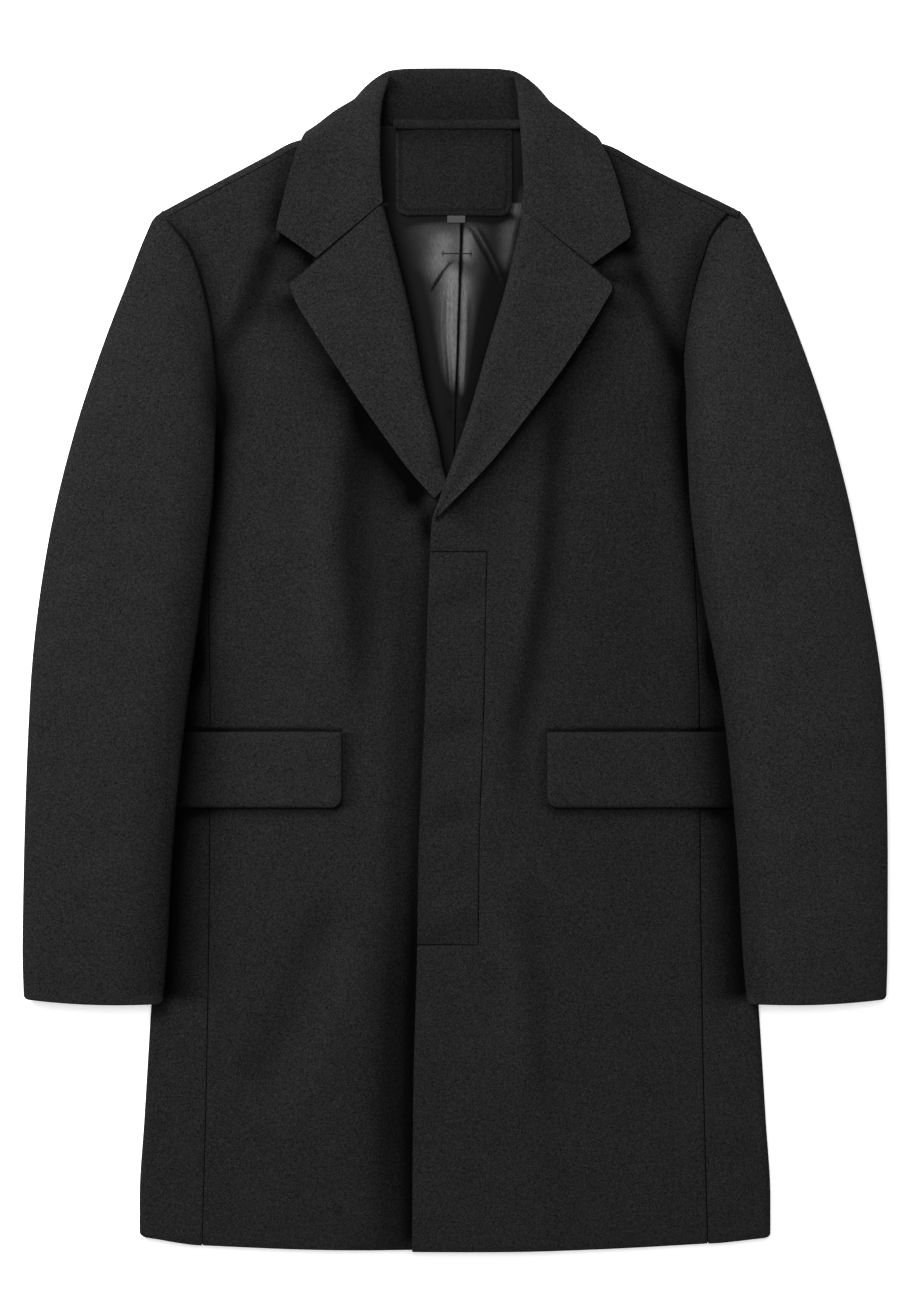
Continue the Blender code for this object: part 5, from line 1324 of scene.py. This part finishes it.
def sew(name, path_points, step, dash_length, radius):
    """Stitches along a path of points, as a plain mesh that rides with the coat."""
    guide_mesh = bpy.data.meshes.new(name + "_path")
    steps = [(i, i + 1) for i in range(len(path_points) - 1)]
    guide_mesh.from_pydata([tuple(p) for p in path_points], steps, [])
    guide = new_object(name + "_path", guide_mesh)
    needle = guide.modifiers.new("Sewing", "NODES")
    needle.node_group = sewing
    for socket, value in ((STEP, step), (DASH, dash_length), (THICK, radius)):
        needle[socket.identifier] = value
    graph = bpy.context.evaluated_depsgraph_get()
    mesh = bpy.data.meshes.new_from_object(guide.evaluated_get(graph))
    bpy.data.objects.remove(guide, do_unlink=True)
    stitches = new_object(name, mesh)
    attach(stitches, "root")
    print(name, len(mesh.polygons), "faces")


# %% [markdown]
# ## Sewing
# The patch is sewn down along its sides and its lower edge, a bar tack holds the pleat of the lining
# shut, and a short tack holds each end of the loop.

# %% Sew the patch, the pleat and the loop
STRAIGHT, STITCH_SINK, FIRST_STITCH = 24, 0.0004, 0.0030
corner = np.linspace(np.pi / 2, 0, 9)
inner_half, inner_radius = PATCH_HALF - PATCH_STITCH_INSET, PATCH_CORNER - PATCH_STITCH_INSET
inner_bottom, bottom_half = PATCH_BOTTOM_Y + PATCH_STITCH_INSET, inner_half - inner_radius
corner_x = bottom_half + inner_radius * np.cos(corner)
corner_y = inner_bottom + inner_radius - inner_radius * np.sin(corner)
edge_y = np.linspace(PATCH_TOP_Y - FIRST_STITCH, corner_y[-1], STRAIGHT)
edge_x = np.full(STRAIGHT, inner_half)
bottom_x = np.linspace(-bottom_half, bottom_half, STRAIGHT)
bottom_y = np.full(STRAIGHT, inner_bottom)
path_x = np.concatenate([-edge_x, -corner_x[::-1], bottom_x, corner_x, edge_x])
path_y = np.concatenate([edge_y, corner_y[::-1], bottom_y, corner_y, edge_y[::-1]])
path_z = patch_height(PATCH_X + path_x, path_y) - STITCH_SINK
sew("patch_topstitch", stacked(PATCH_X + path_x, path_y, path_z), 0.0030, 0.0023, 0.00028)

TACK_RIGHT_X, TACK_LEFT_X, TACK_Y, TACK_PROUD = -0.0096, 0.0128, 0.3250, 0.0012
tack_x = np.linspace(TACK_RIGHT_X, TACK_LEFT_X, 20)
tack_z = lining_height(tack_x, TACK_Y + 0 * tack_x) + TACK_PROUD
sew("pleat_tack", stacked(tack_x, TACK_Y, tack_z), 0.0010, 0.0012, 0.00035)
LOOP_TACK_IN, LOOP_TACK_CLEAR, LOOP_TACK_Z = 0.0030, 0.0008, 0.0160
tack_y = np.linspace(LOOP_BOTTOM_Y + LOOP_TACK_CLEAR, LOOP_TOP_Y - LOOP_TACK_CLEAR, 8)
for side in (RIGHT, LEFT):
    tack_x = LOOP_X + side * (LOOP_HALF - LOOP_TACK_IN)
    sew(side_name("loop_tack", side), stacked(tack_x, tack_y, LOOP_TACK_Z), 0.0008, 0.0010, 0.0003)

# %% [markdown]
# ## Floor, light and camera
# The coat is shown on plain white, lit evenly from above and a little from the collar's side, so that
# lapels and flaps shade what is below them. The camera looks straight down from far off with a long
# lens, which keeps the sleeves and the hem in true proportion.

# %% Stage
floor_mesh = bpy.data.meshes.new("floor")
FLOOR_HALF, FLOOR_Z = 6, -0.0004
around_floor = ((-1, -1), (1, -1), (1, 1), (-1, 1))
floor_corners = [(x * FLOOR_HALF, y * FLOOR_HALF, FLOOR_Z) for x, y in around_floor]
floor_mesh.from_pydata(floor_corners, [], [(0, 1, 2, 3)])
floor = new_object("floor", floor_mesh)
paper, paper_tree, paper_shader = new_material(
    "white_paper", 0.9, Specular_IOR_Level=0.1, Emission_Color=(1, 1, 1, 1), Emission_Strength=0.45
)
paper_grain = noise(paper_tree, object_place(paper_tree), 3.0)
paper_colour = colour_between(paper_tree, (0.90, 0.90, 0.90), (0.92, 0.92, 0.92), paper_grain)
give_surface(paper_tree, paper_shader, paper_colour)
floor_mesh.materials.append(paper)

world = bpy.data.worlds.new("studio")
world.use_nodes = True
background = world.node_tree.nodes["Background"]
background.inputs["Color"].default_value = (1, 1, 1, 1)
background.inputs["Strength"].default_value = 0.22
bpy.context.scene.world = world


def softbox(name, place, aim, size, power):
    """A square soft light at a place, turned to aim at a point."""
    lamp = bpy.data.lights.new(name, "AREA")
    lamp.shape, lamp.size, lamp.energy = "SQUARE", size, power
    box = new_object(name, lamp)
    box.location = place
    box.rotation_euler = (Vector(aim) - Vector(place)).to_track_quat("-Z", "Y").to_euler()


softbox("key_softbox", (-1.0, 1.30, 1.85), (0, 0, 0), 1.1, 120)
softbox("top_softbox", (0.0, 0.3, 3.0), (0, 0, 0), 1.6, 60)

# the photo's height in pixels and one pixel's size on the coat, at the height of its upper layer
PHOTO_HEIGHT, PIXEL, LAYER_HEIGHT = 1316, 0.0008, 0.012
HEIGHT, SENSOR = 4.0, 36.0
camera = bpy.data.cameras.new("overhead")
camera.sensor_fit, camera.sensor_height = "VERTICAL", SENSOR
camera.lens = SENSOR * HEIGHT / (PHOTO_HEIGHT * PIXEL)
eye = new_object("overhead", camera)
eye.location = (0.0004, 0.0012, HEIGHT + LAYER_HEIGHT)
bpy.context.scene.camera = eye
bpy.context.scene.view_settings.view_transform = "Standard"
print("camera", round(camera.lens, 1), "mm at", HEIGHT, "m")
